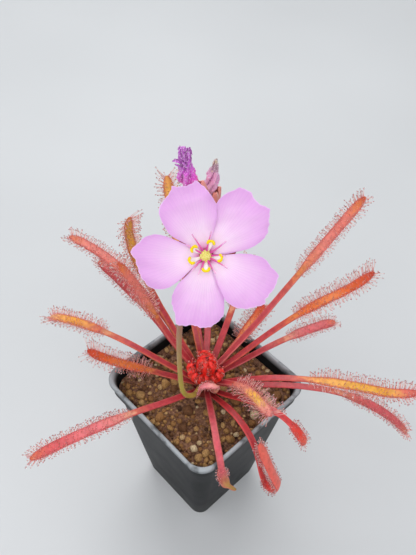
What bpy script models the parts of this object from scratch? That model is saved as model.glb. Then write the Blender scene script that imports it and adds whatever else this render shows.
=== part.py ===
"""A red strap-leaved sundew in a square nursery pot, with one open flower on a tall scape.

Metres, +Z up. The origin is the middle of the pot's flat foot, and the pot's sides lie along X and Y.
A heading is turned from +X about +Z and a rise is the angle above the level, both in degrees.
"""

import math
import random

import bmesh
import bpy
from mathutils import Matrix, Vector

# Pot: outside sections from the foot to the lip, as half width and height.
POT_HEIGHT = 0.090
POT_HALF = 0.035
FOOT_HALF = 0.022
RIM_CORNER = 0.0082
FOOT_CORNER = 0.0060
WALL = 0.0011
FLOOR = 0.0014
COLLAR_HEIGHT = 0.0095
COLLAR_FOOT = POT_HEIGHT - COLLAR_HEIGHT
COLLAR_STEP = 0.0018
LIP_WIDTH = 0.0014
LIP_HEIGHT = 0.0026
CORNER_STEPS = 4
DRAIN_RADIUS = 0.0030
DRAIN_REACH = 0.0125
DRAIN_SIDES = 12
DRAIN_DEPTH = (-0.002, 0.004)

# Potting mix: its surface lies below the rim and is covered in grains of crushed fired clay and bark.
# Its corners are rounder than the pot's by SOIL_CORNER_EXTRA, which keeps them off the wall.
SOIL_TOP = 0.0815
SOIL_CORNER_EXTRA = 0.0008
SOIL_CELLS = 11
SOIL_RIPPLE = 0.0006
GRAIN_INSET = 0.0010
GRAIN_INSET_SHARE = 0.3
GRAIN_RISE = (0.0003, 0.0017)
GRAIN_JITTER = 0.0009
HOLE_RADIUS = 0.0048
HOLE_FOOT = 0.0690
HOLE_TOP = 0.1000

# Short stem, which stands in a plain hole in the mix, and the tuft of young leaves at its top. Each
# young leaf leans out by HEART_LEAN and curls back in over the middle by HEART_CURL, in degrees.
STEM_RADIUS = 0.0045
STEM_FOOT = 0.0693
STEM_TOP = 0.0985
STEM_SIDES = 12
STEM_PROFILE = (
    (0.0, STEM_TOP + 0.0016),
    (0.0026, STEM_TOP + 0.0011),
    (STEM_RADIUS, STEM_TOP - 0.0008),
    (STEM_RADIUS, STEM_FOOT + 0.0015),
    (0.0030, STEM_FOOT),
    (0.0, STEM_FOOT),
)
HEART_LEAVES = 7
HEART_LENGTHS = (0.006, 0.008)
HEART_WIDTHS = (0.0019, 0.0019, 0.0022)
HEART_THICKNESS = 0.0012
HEART_SEAT_RADIUS = 0.0019
HEART_SEAT_DEPTH = 0.0012
HEART_STRAY = 12
HEART_LEAN = (48, 66)
HEART_UNBEND = (12, 45)
HEART_CURL = (150, 200)

# Leaves: a flat petiole that widens into a blade with a round tip, and stalked glands on the blade.
SEAT_GAP = 0.0003
BASE_WIDTH = 0.0027
PETIOLE_WIDTH = 0.0032
BLADE_WIDTH = 0.0050
LEAF_THICKNESS = 0.0012
LEAF_SEGMENTS = (5, 7)
HEART_SEGMENTS = (2, 4)
WALK_STEPS = 60
STRAP_OUTLINE = ((0.5, 0.0), (0.24, 0.5), (-0.24, 0.5), (-0.5, 0.0), (-0.24, -0.5), (0.24, -0.5))
NECK_SHARE = 0.22
TIP_SHARE = 0.18
TIP_TAPER = 0.86
STALK_RADIUS = 0.00024
GLAND_RADIUS = 0.00050
MARGIN_REACH = 0.0033
FACE_REACH = 0.0020
REACH_SPREAD = (0.82, 1.18)
TIP_LEAN = 0.9
LEAN_STRAY = 0.12
MARGIN_LIFT = (0.25, 0.70)
FACE_STRAY = 0.4

# Scape, as points that it passes, and its radii at foot and top. Its tip nods past the open flower,
# by points right of, above and out of that flower's middle.
SCAPE_ROUTE = (
    (0.0016, -0.0045, 0.0911),
    (0.0031, -0.0100, 0.0921),
    (0.0033, -0.0150, 0.0975),
    (0.0042, -0.0184, 0.1080),
    (0.0081, -0.0230, 0.1300),
    (0.0216, -0.0350, 0.1800),
    (0.0392, -0.0484, 0.2280),
    (0.0518, -0.0557, 0.2560),
    (0.0577, -0.0583, 0.2700),
    (0.0618, -0.0596, 0.2795),
)
SCAPE_FOOT_RADIUS = 0.00125
SCAPE_TIP_RADIUS = 0.00070
SCAPE_POINTS = 22
NODDING_RADII = (0.00066, 0.00042)
PEDICEL_RADII = (0.00055, 0.00045)
PEDICEL_GAP = 0.00045
PEDICEL_POINTS = 5
NODDING_TIP = (
    (0.0030, 0.0055, -0.0082),
    (0.0030, 0.0025, -0.0070),
    (0.0030, -0.0008, -0.0066),
    (0.0028, -0.0040, -0.0068),
    (0.0024, -0.0068, -0.0076),
)
TIP_POINTS = 9

# Buds: lengths from the tip of the scape backwards, the side that each stands on, and a profile of
# height as a share of the length and radius as a share of the widest.
BUD_LENGTHS = (0.0036, 0.0032, 0.0028, 0.0024)
BUD_SIDES = (1, -1, 1, 0)
BUD_PROFILE = ((0.0, 0.30), (0.22, 0.85), (0.5, 1.0), (0.78, 0.72), (1.0, 0.16))
BUD_GIRTH = 0.36
BUD_POINTS = 8
BUD_SEAT = 0.00072
BUD_FORWARD = 0.5
BUD_DROOP = 0.35

# Open flower: its middle, the way it faces, and its petals as angle, length and width.
FLOWER_MIDDLE = Vector((0.0688, -0.0705, 0.2814))
FLOWER_AXIS = Vector((0.481, -0.481, 0.733)).normalized()
PETALS = (
    (109, 0.0108, 0.0087),
    (48, 0.0118, 0.0094),
    (-27, 0.0118, 0.0089),
    (-93, 0.0109, 0.0081),
    (190, 0.0113, 0.0084),
)
PETAL_THICKNESS = 0.0006
PETAL_FOOT = 0.0013
PETAL_CELLS = 5
PETAL_NECK = 0.13
PETAL_END_TAPER = 0.16
PETAL_SHOULDER = 0.20
PETAL_TOOTH = 0.0004
PETAL_SINK = 0.0007
PETAL_RISE = 0.0016
PETAL_DISH = 0.0003
PETAL_WAVE = 0.00025
UPPER_TILT = 3.0
LOWER_TILT = -1.0
UPPER_PETALS = (0, 2)
PETAL_RING = (0.0009, 0.0022, -0.0015, -0.0008)
CALYX_PROFILE = ((0.0006, -0.0036), (0.0014, -0.0031), (0.0021, -0.0022), (0.0029, -0.0019))
CALYX_LOBE = (0.0018, -0.0001)
RECEPTACLE = (0.0006, -0.0034, -0.0011)
RING_SIDES = 10
STAMEN_RING = (0.00125, 0.0018, -0.0001, 0.0003)
STAMEN_ANGLES = (66, 151, 202, 268, 354)
FILAMENT = ((0.00145, 0.0001), (0.0019, 0.0011), (0.0024, 0.0019))
FILAMENT_RADII = (0.00030, 0.00034)
ANTHER_RADIUS = 0.0005
ANTHER_SHAPE = (1.1, 1.3, 0.8)
STYLE_ANGLES = (120, 88, 36, -28, -128, -62)
STYLE = ((0.0002, 0.0006), (0.0008, 0.00105), (0.0020, 0.00115), (0.0040, 0.0020))
STYLE_RADII = (0.00019, 0.00017)
OVARY_RADIUS = 0.0009
OVARY_SINK = 0.0008

# Two flowers that are over: where the pedicel leaves the scape, its bend, the foot of the calyx, the
# tip of the withered petals and their radius.
SPENT_FLOWERS = (
    ("spent_flower_1", (0.0586, -0.0587, 0.2722), (0.0588, -0.0614, 0.2772),
     (0.0597, -0.0628, 0.2820), (0.0591, -0.0672, 0.2947), 0.0020),
    ("spent_flower_2", (0.0561, -0.0577, 0.2665), (0.0568, -0.0586, 0.2722),
     (0.0577, -0.0588, 0.2773), (0.0592, -0.0597, 0.2887), 0.0015),
)
OPEN_PEDICEL = ((0.0010, 0.0036, -0.0066), (0.0000, 0.0000, -0.0039))
SPENT_CALYX = ((0.0007, 0.0), (0.0013, 0.0008), (0.0016, 0.0022), (0.0018, 0.0034))
SPENT_LOBE = (0.0002, 0.0012)
CALYX_WALL = 0.0006
SPENT_FOOT = ((0.00025, 0.0), (0.00062, 0.12), (0.00080, 0.24), (0.00095, 0.36))
SPENT_TOP = ((1.0, 0.52), (0.86, 0.66), (0.66, 0.80), (0.5, 0.92), (0.2, 1.0))
SPENT_POINTS = 10
SPENT_FOLD = 0.34
SPENT_CRUMPLE = 0.14
SPENT_RAGGED = 0.0002
SPENT_TWIST = 0.9

# Each leaf: name, headings and rises at equal steps from its seat to its tip, petiole and blade
# lengths, and the height of its seat on the stem. The oldest leaves sit lowest. One hangs over the
# pot's side and turns back up in a hairpin.
HAIRPIN_HEADINGS = (-9, -9, -10, -11, -12, 18, 24, 12, 8)
HAIRPIN_RISES = (27, 28, 25, 18, 6, -12, -36, -55, -66, -68, -68, 22, 112, 114, 115, 116, 117, 118)
LEAVES = (
    ("leaf_01", (86, 82), (24, 38, 41, 42), 0.060, 0.046, 0.0962),
    ("leaf_02", (74, 60), (20, 35, 30, 20, 48), 0.046, 0.042, 0.0942),
    ("leaf_03", (69, 69), (16, 20, 8, -8), 0.039, 0.026, 0.0922),
    ("leaf_04", (32, 43), (33, 28, 12, -2, -12, 22), 0.046, 0.050, 0.0904),
    ("leaf_05", (39, 29), (8, 18, 5, -25, -50), 0.060, 0.040, 0.0886),
    ("leaf_06", (9, 14), (16, 34, 27, 8, -38, -56), 0.045, 0.013, 0.0868),
    ("leaf_07", HAIRPIN_HEADINGS, HAIRPIN_RISES, 0.056, 0.044, 0.0848),
    ("leaf_08", (-35, -35, -35, -28, 40), (22, 17, 8, -10, -74, -16), 0.042, 0.015, 0.0884),
    ("leaf_09", (-91, -111), (26, 24, 3, -20), 0.040, 0.046, 0.0868),
    ("leaf_10", (217, 220), (13, 10, 13, 36), 0.022, 0.032, 0.0868),
    ("leaf_11", (211, 199), (26, 22, 0, -28), 0.048, 0.034, 0.0888),
    ("leaf_12", (174, 201), (31, 34, 22, 2), 0.054, 0.038, 0.0926),
    ("leaf_13", (183, 185), (30, 31, 20, 6), 0.042, 0.032, 0.0906),
    ("leaf_14", (180, 181), (37, 42, 56, 104), 0.049, 0.036, 0.0946),
    ("leaf_15", (154, 154), (42, 46, 48, 55), 0.050, 0.040, 0.0964),
    ("leaf_16", (116, 116), (16, 20, 28, 40), 0.034, 0.028, 0.0908),
    ("leaf_17", (101, 101), (7, 6, 8, 28), 0.024, 0.023, 0.0888),
    ("leaf_18", (20, 12, -8, -14, -14), (26, 34, 24, 14, 12), 0.012, 0.028, 0.0934),
    ("leaf_19", (135, 129), (30, 38, 40, 30), 0.044, 0.038, 0.0926),
    ("leaf_20", (197, 193), (42, 52, 56, 40), 0.034, 0.030, 0.0966),
    ("leaf_21", (143, 149), (10, 8, -4, -20), 0.036, 0.036, 0.0868),
    ("leaf_22", (-17, -17, -25, -135, -145, -145), (20, 50, 84, 56, -5, -75, -80), 0.015, 0.014, 0.0914),
)

# Colour, roughness and metallic value of each material.
FINISHES = {
    "black_moulded_polypropylene": ((0.012, 0.013, 0.014), 0.42),
    "gritty_potting_mix": ((0.145, 0.075, 0.032), 0.90),
    "crimson_leaf": ((0.50, 0.045, 0.035), 0.45),
    "red_stem": ((0.36, 0.030, 0.022), 0.50),
    "green_scape": ((0.23, 0.20, 0.045), 0.50),
    "reddish_sepal": ((0.38, 0.13, 0.07), 0.55),
    "orchid_pink_petal": ((0.76, 0.46, 0.85), 0.50),
    "cream_stamen": ((0.90, 0.72, 0.20), 0.50),
    "lime_pistil": ((0.60, 0.60, 0.10), 0.45),
    "withered_purple_petal": ((0.32, 0.06, 0.42), 0.60),
}


def clear_scene():
    for obj in list(bpy.data.objects):
        bpy.data.objects.remove(obj, do_unlink=True)


def new_collection(name):
    collection = bpy.data.collections.new(name)
    bpy.context.scene.collection.children.link(collection)
    return collection


def finish(name):
    """The material of this name, made the first time that it is asked for."""
    material = bpy.data.materials.get(name)
    if material:
        return material
    colour, roughness = FINISHES[name]
    material = bpy.data.materials.new(name)
    material.use_nodes = True
    shader = material.node_tree.nodes["Principled BSDF"]
    shader.inputs["Base Color"].default_value = (*colour, 1.0)
    shader.inputs["Roughness"].default_value = roughness
    shader.inputs["Metallic"].default_value = 0.0
    return material


def add_object(name, mesh, collection, material=None):
    obj = bpy.data.objects.new(name, mesh)
    collection.objects.link(obj)
    if material:
        mesh.materials.append(finish(material))
    return obj


def object_from_bmesh(name, bm, collection, material=None):
    """Makes an object of a closed bmesh, with its faces turned outwards."""
    bmesh.ops.recalc_face_normals(bm, faces=bm.faces)
    if bm.calc_volume(signed=True) < 0:
        bmesh.ops.reverse_faces(bm, faces=bm.faces)
    mesh = bpy.data.meshes.new(name)
    bm.to_mesh(mesh)
    bm.free()
    return add_object(name, mesh, collection, material)


def shade_round(obj, sharp_degrees=50):
    obj.data.shade_smooth()
    obj.data.set_sharp_from_angle(angle=math.radians(sharp_degrees))


def apply_modifiers(obj):
    """Replaces the object's mesh by the mesh that its modifiers give."""
    graph = bpy.context.evaluated_depsgraph_get()
    made = bpy.data.meshes.new_from_object(obj.evaluated_get(graph))
    obj.modifiers.clear()
    obj.data = made
    return obj


def fuse(obj, pieces, solver="EXACT"):
    """Joins the pieces to the object in one Boolean union, and removes them."""
    union = bpy.data.collections.new(obj.name + "_pieces")
    bpy.context.scene.collection.children.link(union)
    for piece in pieces:
        for home in list(piece.users_collection):
            home.objects.unlink(piece)
        union.objects.link(piece)
    join = obj.modifiers.new("join", "BOOLEAN")
    join.operation = "UNION"
    join.solver = solver
    join.operand_type = "COLLECTION"
    join.collection = union
    apply_modifiers(obj)
    for piece in list(union.objects):
        bpy.data.objects.remove(piece, do_unlink=True)
    bpy.data.collections.remove(union)
    return obj


def cut(obj, cutter):
    """Takes the cutter out of the object with a modifier, and leaves both in place."""
    cutter.hide_render = True
    cutter.display_type = "WIRE"
    hole = obj.modifiers.new("cut_" + cutter.name, "BOOLEAN")
    hole.operation = "DIFFERENCE"
    hole.object = cutter


def cylinder_solid(name, radius, low, high, sides, collection, place=(0.0, 0.0)):
    bm = bmesh.new()
    bmesh.ops.create_cone(
        bm, cap_ends=True, segments=sides, radius1=radius, radius2=radius, depth=high - low
    )
    bmesh.ops.translate(bm, verts=bm.verts, vec=(place[0], place[1], (low + high) / 2))
    return object_from_bmesh(name, bm, collection)


def loft(rings):
    """A closed skin over rings of equally many points, with a cap at each end.

    Returns the bmesh and its side faces, as rows from ring to ring."""
    bm = bmesh.new()
    loops = [[bm.verts.new(point) for point in ring] for ring in rings]
    rows = []
    for near, far in zip(loops, loops[1:]):
        row = []
        for k in range(len(near)):
            after = (k + 1) % len(near)
            row.append(bm.faces.new((near[k], near[after], far[after], far[k])))
        rows.append(row)
    bm.faces.new(reversed(loops[0]))
    bm.faces.new(loops[-1])
    return bm, rows


def direction(heading, rise):
    """Unit vector at a heading and a rise in degrees."""
    h, r = math.radians(heading), math.radians(rise)
    return Vector((math.cos(h) * math.cos(r), math.sin(h) * math.cos(r), math.sin(r)))


def value_at(values, share):
    """The value at a share of the way along equally spaced values."""
    place = share * (len(values) - 1)
    index = min(int(place), len(values) - 2)
    return values[index] + (values[index + 1] - values[index]) * (place - index)


def ease(share):
    """A smooth rise from 0 to 1."""
    share = min(max(share, 0.0), 1.0)
    return share * share * (3 - 2 * share)


def smooth_route(points, count):
    """Equally many steps along a curve through the points, rounded at each of them."""
    points = [Vector(point) for point in points]
    ends = [2 * points[0] - points[1], *points, 2 * points[-1] - points[-2]]
    route = []
    for i in range(count):
        place = i / (count - 1) * (len(points) - 1)
        k = min(int(place), len(points) - 2)
        t = place - k
        a, b, c, d = ends[k : k + 4]
        bend = 2 * a - 5 * b + 4 * c - d
        twist = 3 * b - a - 3 * c + d
        route.append(0.5 * (2 * b + t * (c - a) + t * t * bend + t * t * t * twist))
    return route


def tube(name, route, radii, collection, material=None, resolution=1):
    """A round tube along the route, with filled caps, as a mesh, from one radius to the other."""
    curve = bpy.data.curves.new(name, "CURVE")
    curve.dimensions = "3D"
    curve.bevel_depth = radii[0]
    curve.bevel_resolution = resolution
    curve.use_fill_caps = True
    spline = curve.splines.new("POLY")
    spline.points.add(len(route) - 1)
    for i, place in enumerate(route):
        share = i / (len(route) - 1)
        spline.points[i].co = (*place, 1.0)
        spline.points[i].radius = 1.0 + (radii[1] / radii[0] - 1.0) * share
    guide = bpy.data.objects.new(name + "_guide", curve)
    collection.objects.link(guide)
    graph = bpy.context.evaluated_depsgraph_get()
    mesh = bpy.data.meshes.new_from_object(guide.evaluated_get(graph))
    bm = bmesh.new()
    bm.from_mesh(mesh)
    bmesh.ops.remove_doubles(bm, verts=bm.verts, dist=1e-6)
    bmesh.ops.recalc_face_normals(bm, faces=bm.faces)
    bm.to_mesh(mesh)
    bm.free()
    obj = add_object(name, mesh, collection, material)
    obj.matrix_world = guide.matrix_world
    bpy.data.objects.remove(guide, do_unlink=True)
    return obj


def rounded_square(half, corner, height):
    """Points round a square with rounded corners at this height, anticlockwise."""
    points = []
    for quarter in range(4):
        for step in range(CORNER_STEPS + 1):
            angle = math.radians(90 * quarter + 90 * step / CORNER_STEPS)
            turn = math.radians(90 * quarter + 45)
            middle = (half - corner) * math.sqrt(2)
            x = middle * math.cos(turn) + corner * math.cos(angle)
            y = middle * math.sin(turn) + corner * math.sin(angle)
            points.append(Vector((x, y, height)))
    return points


def wall_half(height):
    """Half width of the outside of the pot's tapered body at this height."""
    top_half = POT_HALF - LIP_WIDTH - COLLAR_STEP
    return FOOT_HALF + (top_half - FOOT_HALF) * min(height / COLLAR_FOOT, 1.0)


def pot_inside():
    """Half widths and heights of the pot's inside, from the lip down to the floor."""
    collar = wall_half(COLLAR_FOOT) + COLLAR_STEP - WALL
    return (
        (POT_HALF - LIP_WIDTH - 0.0004, POT_HEIGHT),
        (collar, POT_HEIGHT - LIP_HEIGHT),
        (collar - 0.0002, COLLAR_FOOT + 0.0004),
        (wall_half(COLLAR_FOOT) - WALL, COLLAR_FOOT - 0.0018),
        (wall_half(FLOOR) - WALL, FLOOR),
    )


def corner_at(height):
    """Corner radius of the pot at this height."""
    return FOOT_CORNER + (RIM_CORNER - FOOT_CORNER) * height / POT_HEIGHT


def make_pot(collection, cutters):
    """The pot: outside from foot to lip, over the lip and down the inside to the floor."""
    collar = wall_half(COLLAR_FOOT) + COLLAR_STEP
    lip_foot = POT_HEIGHT - LIP_HEIGHT
    outside = (
        (FOOT_HALF - 0.0006, 0.0),
        (FOOT_HALF, 0.0007),
        (wall_half(COLLAR_FOOT - 0.0012), COLLAR_FOOT - 0.0012),
        (collar - 0.0004, COLLAR_FOOT),
        (collar, COLLAR_FOOT + 0.0008),
        (collar + 0.0002, lip_foot - 0.0004),
        (POT_HALF - 0.0002, lip_foot),
        (POT_HALF, POT_HEIGHT - 0.0012),
        (POT_HALF - 0.0005, POT_HEIGHT),
    )
    sections = outside + pot_inside()
    bm, _ = loft([rounded_square(half, corner_at(height), height) for half, height in sections])
    pot = object_from_bmesh("pot", bm, collection, "black_moulded_polypropylene")
    for k in range(4):
        way = direction(90 * k, 0) * DRAIN_REACH
        drain = cylinder_solid(
            f"drain_{k + 1}", DRAIN_RADIUS, *DRAIN_DEPTH, DRAIN_SIDES, cutters, (way.x, way.y)
        )
        cut(pot, drain)
    shade_round(pot, 40)
    return pot


def mix_half(height):
    """Half width of the mix at this height, clear of the pot's inside."""
    rows = pot_inside()
    for (upper, top), (lower, low) in zip(rows, rows[1:]):
        if height >= low:
            return lower + (upper - lower) * (height - low) / (top - low) - SEAT_GAP
    return rows[-1][0] - SEAT_GAP


def make_soil(collection, cutters):
    """The potting mix: a tapered block whose top is a field of raised, uneven grains."""
    rng = random.Random(11)
    half = mix_half(SOIL_TOP)
    corner = corner_at(SOIL_TOP) + SOIL_CORNER_EXTRA
    bm = bmesh.new()
    bmesh.ops.create_grid(bm, x_segments=SOIL_CELLS, y_segments=SOIL_CELLS, size=half)
    for vert in bm.verts:
        edge = max(abs(vert.co.x), abs(vert.co.y)) > half - 1e-6
        if not edge:
            vert.co.x += rng.uniform(-GRAIN_JITTER, GRAIN_JITTER)
            vert.co.y += rng.uniform(-GRAIN_JITTER, GRAIN_JITTER)
        reach = half - corner
        out = Vector((max(abs(vert.co.x) - reach, 0.0), max(abs(vert.co.y) - reach, 0.0)))
        if out.length > corner:
            out *= corner / out.length
            vert.co.x = math.copysign(reach + out.x, vert.co.x)
            vert.co.y = math.copysign(reach + out.y, vert.co.y)
        vert.co.z = SOIL_TOP + (0.0 if edge else rng.uniform(-SOIL_RIPPLE, SOIL_RIPPLE))
    top = list(bm.faces)
    rim = [edge for edge in bm.edges if edge.is_boundary]
    ledge, shelf, floor = (height for _, height in pot_inside()[2:])
    for level in (ledge, shelf, floor + SEAT_GAP):
        lower = bmesh.ops.extrude_edge_only(bm, edges=rim)["geom"]
        scale = mix_half(level) / half
        for vert in (item for item in lower if isinstance(item, bmesh.types.BMVert)):
            vert.co.x *= scale
            vert.co.y *= scale
            vert.co.z = level
        half = mix_half(level)
        rim = [item for item in lower if isinstance(item, bmesh.types.BMEdge)]
    bmesh.ops.contextual_create(bm, geom=rim)
    bmesh.ops.recalc_face_normals(bm, faces=bm.faces)
    for face in top:
        inset = min(GRAIN_INSET, GRAIN_INSET_SHARE * math.sqrt(face.calc_area()))
        rise = rng.uniform(*GRAIN_RISE)
        bmesh.ops.inset_individual(bm, faces=[face], thickness=inset, depth=rise)
    soil = object_from_bmesh("soil", bm, collection, "gritty_potting_mix")
    cut(soil, cylinder_solid("stem_hole", HOLE_RADIUS, HOLE_FOOT, HOLE_TOP, STEM_SIDES, cutters))
    return soil


def walk(headings, rises, length, start):
    """Places and ways along a line that follows the headings and rises for this length."""
    places = [start]
    ways = []
    for step in range(WALK_STEPS):
        share = (step + 0.5) / WALK_STEPS
        way = direction(value_at(headings, share), value_at(rises, share))
        places.append(places[-1] + way * length / WALK_STEPS)
    for step in range(WALK_STEPS + 1):
        share = step / WALK_STEPS
        ways.append((value_at(headings, share), value_at(rises, share)))
    return places, ways


def station(places, ways, share):
    """Place, side, face and way of the strap at a share of its length."""
    spot = share * WALK_STEPS
    index = min(int(spot), WALK_STEPS - 1)
    part = spot - index
    place = places[index].lerp(places[index + 1], part)
    heading = ways[index][0] + (ways[index + 1][0] - ways[index][0]) * part
    rise = ways[index][1] + (ways[index + 1][1] - ways[index][1]) * part
    way = direction(heading, rise)
    face = direction(heading, rise + 90)
    return place, face.cross(way), face, way


def strap_section(place, side, face, width, thickness):
    """Six points round a flat strap, from its left edge over its face to its right edge and back."""
    return [place + side * (a * width) + face * (b * thickness) for a, b in STRAP_OUTLINE]


def blade_width(share, base, full):
    """Width of the blade at a share of its length, from its neck to its round tip."""
    width = base + (full - base) * ease(share / NECK_SHARE)
    tip = max(share - 1.0 + TIP_SHARE, 0.0) / TIP_SHARE
    return width * math.sqrt(1.0 - TIP_TAPER * tip * tip)


def pull_gland(bm, face, way, reach):
    """Pulls the middle of a face out into a thin stalk with a wider gland at its end."""
    corner_count = len(face.verts)
    middle = face.calc_center_median()
    corners = [vert.co - middle for vert in face.verts]
    loops = [list(face.verts)]
    bm.faces.remove(face)
    loops.append([bm.verts.new(middle + corner.normalized() * STALK_RADIUS) for corner in corners])
    flat = [(corner - way * corner.dot(way)).normalized() for corner in corners]
    bulge = middle + way * (reach - GLAND_RADIUS)
    loops.append([bm.verts.new(bulge + corner * GLAND_RADIUS) for corner in flat])
    for near, far in zip(loops, loops[1:]):
        for k in range(corner_count):
            after = (k + 1) % corner_count
            bm.faces.new((near[k], near[after], far[after], far[k]))
    apex = bm.verts.new(middle + way * reach)
    for k in range(corner_count):
        bm.faces.new((loops[2][k], loops[2][(k + 1) % corner_count], apex))


def half_of(bm, face):
    """One of the two triangles that a four-cornered face splits into."""
    return bmesh.ops.triangulate(bm, faces=[face])["faces"][0]


def strap(headings, rises, lengths, segments, start, widths, thickness):
    """The closed strap of a leaf with its stations, and its side faces as rows from base to tip.

    Lengths and segments are those of petiole and blade. Widths are those of base, petiole and blade."""
    petiole, blade = lengths
    base, neck, full = widths
    places, ways = walk(headings, rises, petiole + blade, start)
    sections = []
    for i in range(segments[0]):
        along = i / segments[0]
        sections.append((petiole * along, base + (neck - base) * ease(3 * along)))
    for i in range(segments[1] + 1):
        along = i / segments[1]
        sections.append((petiole + blade * along, blade_width(along, neck, full)))
    stations = [station(places, ways, reach / (petiole + blade)) for reach, _ in sections]
    rings = []
    for (place, side, face, _), (_, width) in zip(stations, sections):
        rings.append(strap_section(place, side, face, width, thickness))
    bm, rows = loft(rings)
    return bm, rows, stations


def add_glands(bm, rows, stations, rng):
    """Stalked glands: on each blade segment, one on each margin and one on the face."""
    first, count = LEAF_SEGMENTS
    for i in range(first, first + count):
        _, side, face, way = stations[i]
        near_tip = (i - first) / count
        lean = way * (TIP_LEAN * near_tip**2 + rng.uniform(-LEAN_STRAY, LEAN_STRAY))
        for row_face, sign in ((0, 1.0), (2, -1.0)):
            out = (side * sign + face * rng.uniform(*MARGIN_LIFT) + lean).normalized()
            reach = MARGIN_REACH * rng.uniform(*REACH_SPREAD)
            pull_gland(bm, half_of(bm, rows[i][row_face]), out, reach)
        if i < first + count - 1:
            out = (face + side * rng.uniform(-FACE_STRAY, FACE_STRAY) + lean).normalized()
            pull_gland(bm, half_of(bm, rows[i][1]), out, FACE_REACH * rng.uniform(*REACH_SPREAD))


def make_leaves(collection):
    """Every leaf, with the end of its petiole just clear of the stem."""
    widths = (BASE_WIDTH, PETIOLE_WIDTH, BLADE_WIDTH)
    for number, (name, headings, rises, petiole, blade, seat) in enumerate(LEAVES):
        tilt = 0.5 * LEAF_THICKNESS * abs(math.sin(math.radians(rises[0])))
        start = direction(headings[0], 0) * (STEM_RADIUS + SEAT_GAP + tilt) + Vector((0, 0, seat))
        bm, rows, stations = strap(
            headings, rises, (petiole, blade), LEAF_SEGMENTS, start, widths, LEAF_THICKNESS
        )
        add_glands(bm, rows, stations, random.Random(100 + number))
        leaf = object_from_bmesh(name, bm, collection, "crimson_leaf")
        shade_round(leaf)


def make_crown(collection):
    """The short stem, turned, with a tuft of curled young leaves fused to its top."""
    mesh = bpy.data.meshes.new("crown")
    edges = [(i, i + 1) for i in range(len(STEM_PROFILE) - 1)]
    mesh.from_pydata([(radius, 0.0, height) for radius, height in STEM_PROFILE], edges, [])
    crown = add_object("crown", mesh, collection, "red_stem")
    turn = crown.modifiers.new("turn", "SCREW")
    turn.steps = STEM_SIDES
    turn.render_steps = STEM_SIDES
    turn.use_merge_vertices = True
    turn.merge_threshold = 0.00001
    apply_modifiers(crown)
    rng = random.Random(7)
    pieces = []
    for k in range(HEART_LEAVES):
        heading = 360 * k / HEART_LEAVES + rng.uniform(-HEART_STRAY, HEART_STRAY)
        lean = rng.uniform(*HEART_LEAN)
        curl = rng.uniform(*HEART_CURL)
        start = direction(heading, 0) * HEART_SEAT_RADIUS
        start.z = STEM_TOP - HEART_SEAT_DEPTH
        rises = (lean, lean + HEART_UNBEND[0], lean + HEART_UNBEND[1], curl)
        bm, _, _ = strap(
            (heading, heading), rises, HEART_LENGTHS, HEART_SEGMENTS, start, HEART_WIDTHS, HEART_THICKNESS
        )
        pieces.append(object_from_bmesh(f"heart_{k}", bm, collection))
    fuse(crown, pieces)
    shade_round(crown)
    return crown


def make_scape(collection):
    """The tall scape with its nodding tip, and a pedicel to each flower."""
    route = smooth_route(SCAPE_ROUTE, SCAPE_POINTS)
    scape = tube("scape", route, (SCAPE_FOOT_RADIUS, SCAPE_TIP_RADIUS), collection, "green_scape", 2)
    pieces = [tube("tip", tip_route(), NODDING_RADII, collection)]
    pedicels = [(SCAPE_ROUTE[-1], *(flower_point(*point) for point in OPEN_PEDICEL))]
    pedicels += [(foot, bend, end) for _, foot, bend, end, _, _ in SPENT_FLOWERS]
    for k, points in enumerate(pedicels):
        route = smooth_route(points, PEDICEL_POINTS)
        route[-1] += (route[-2] - route[-1]).normalized() * PEDICEL_GAP
        pieces.append(tube(f"pedicel_{k}", route, PEDICEL_RADII, collection))
    fuse(scape, pieces)
    shade_round(scape)
    return scape


def flower_basis():
    """Right, up and facing directions of the open flower."""
    right = Vector((1, 1, 0)).normalized()
    return right, FLOWER_AXIS.cross(right).normalized(), FLOWER_AXIS


def flower_point(right, up, out):
    """The place at these distances right of, above and out of the flower's middle."""
    a, b, c = flower_basis()
    return FLOWER_MIDDLE + a * right + b * up + c * out


def tip_route():
    """The nodding tip of the scape, from the scape's top to its end."""
    points = [SCAPE_ROUTE[-1], *(flower_point(*point) for point in NODDING_TIP)]
    return smooth_route(points, TIP_POINTS)


def flower_matrix():
    a, b, c = flower_basis()
    turn = Matrix((a, b, c)).transposed().to_4x4()
    return Matrix.Translation(FLOWER_MIDDLE) @ turn


def axis_matrix(foot, tip):
    """A frame at the foot whose +Z points to the tip."""
    turn = (Vector(tip) - Vector(foot)).to_track_quat("Z", "Y").to_matrix().to_4x4()
    return Matrix.Translation(foot) @ turn


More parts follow.
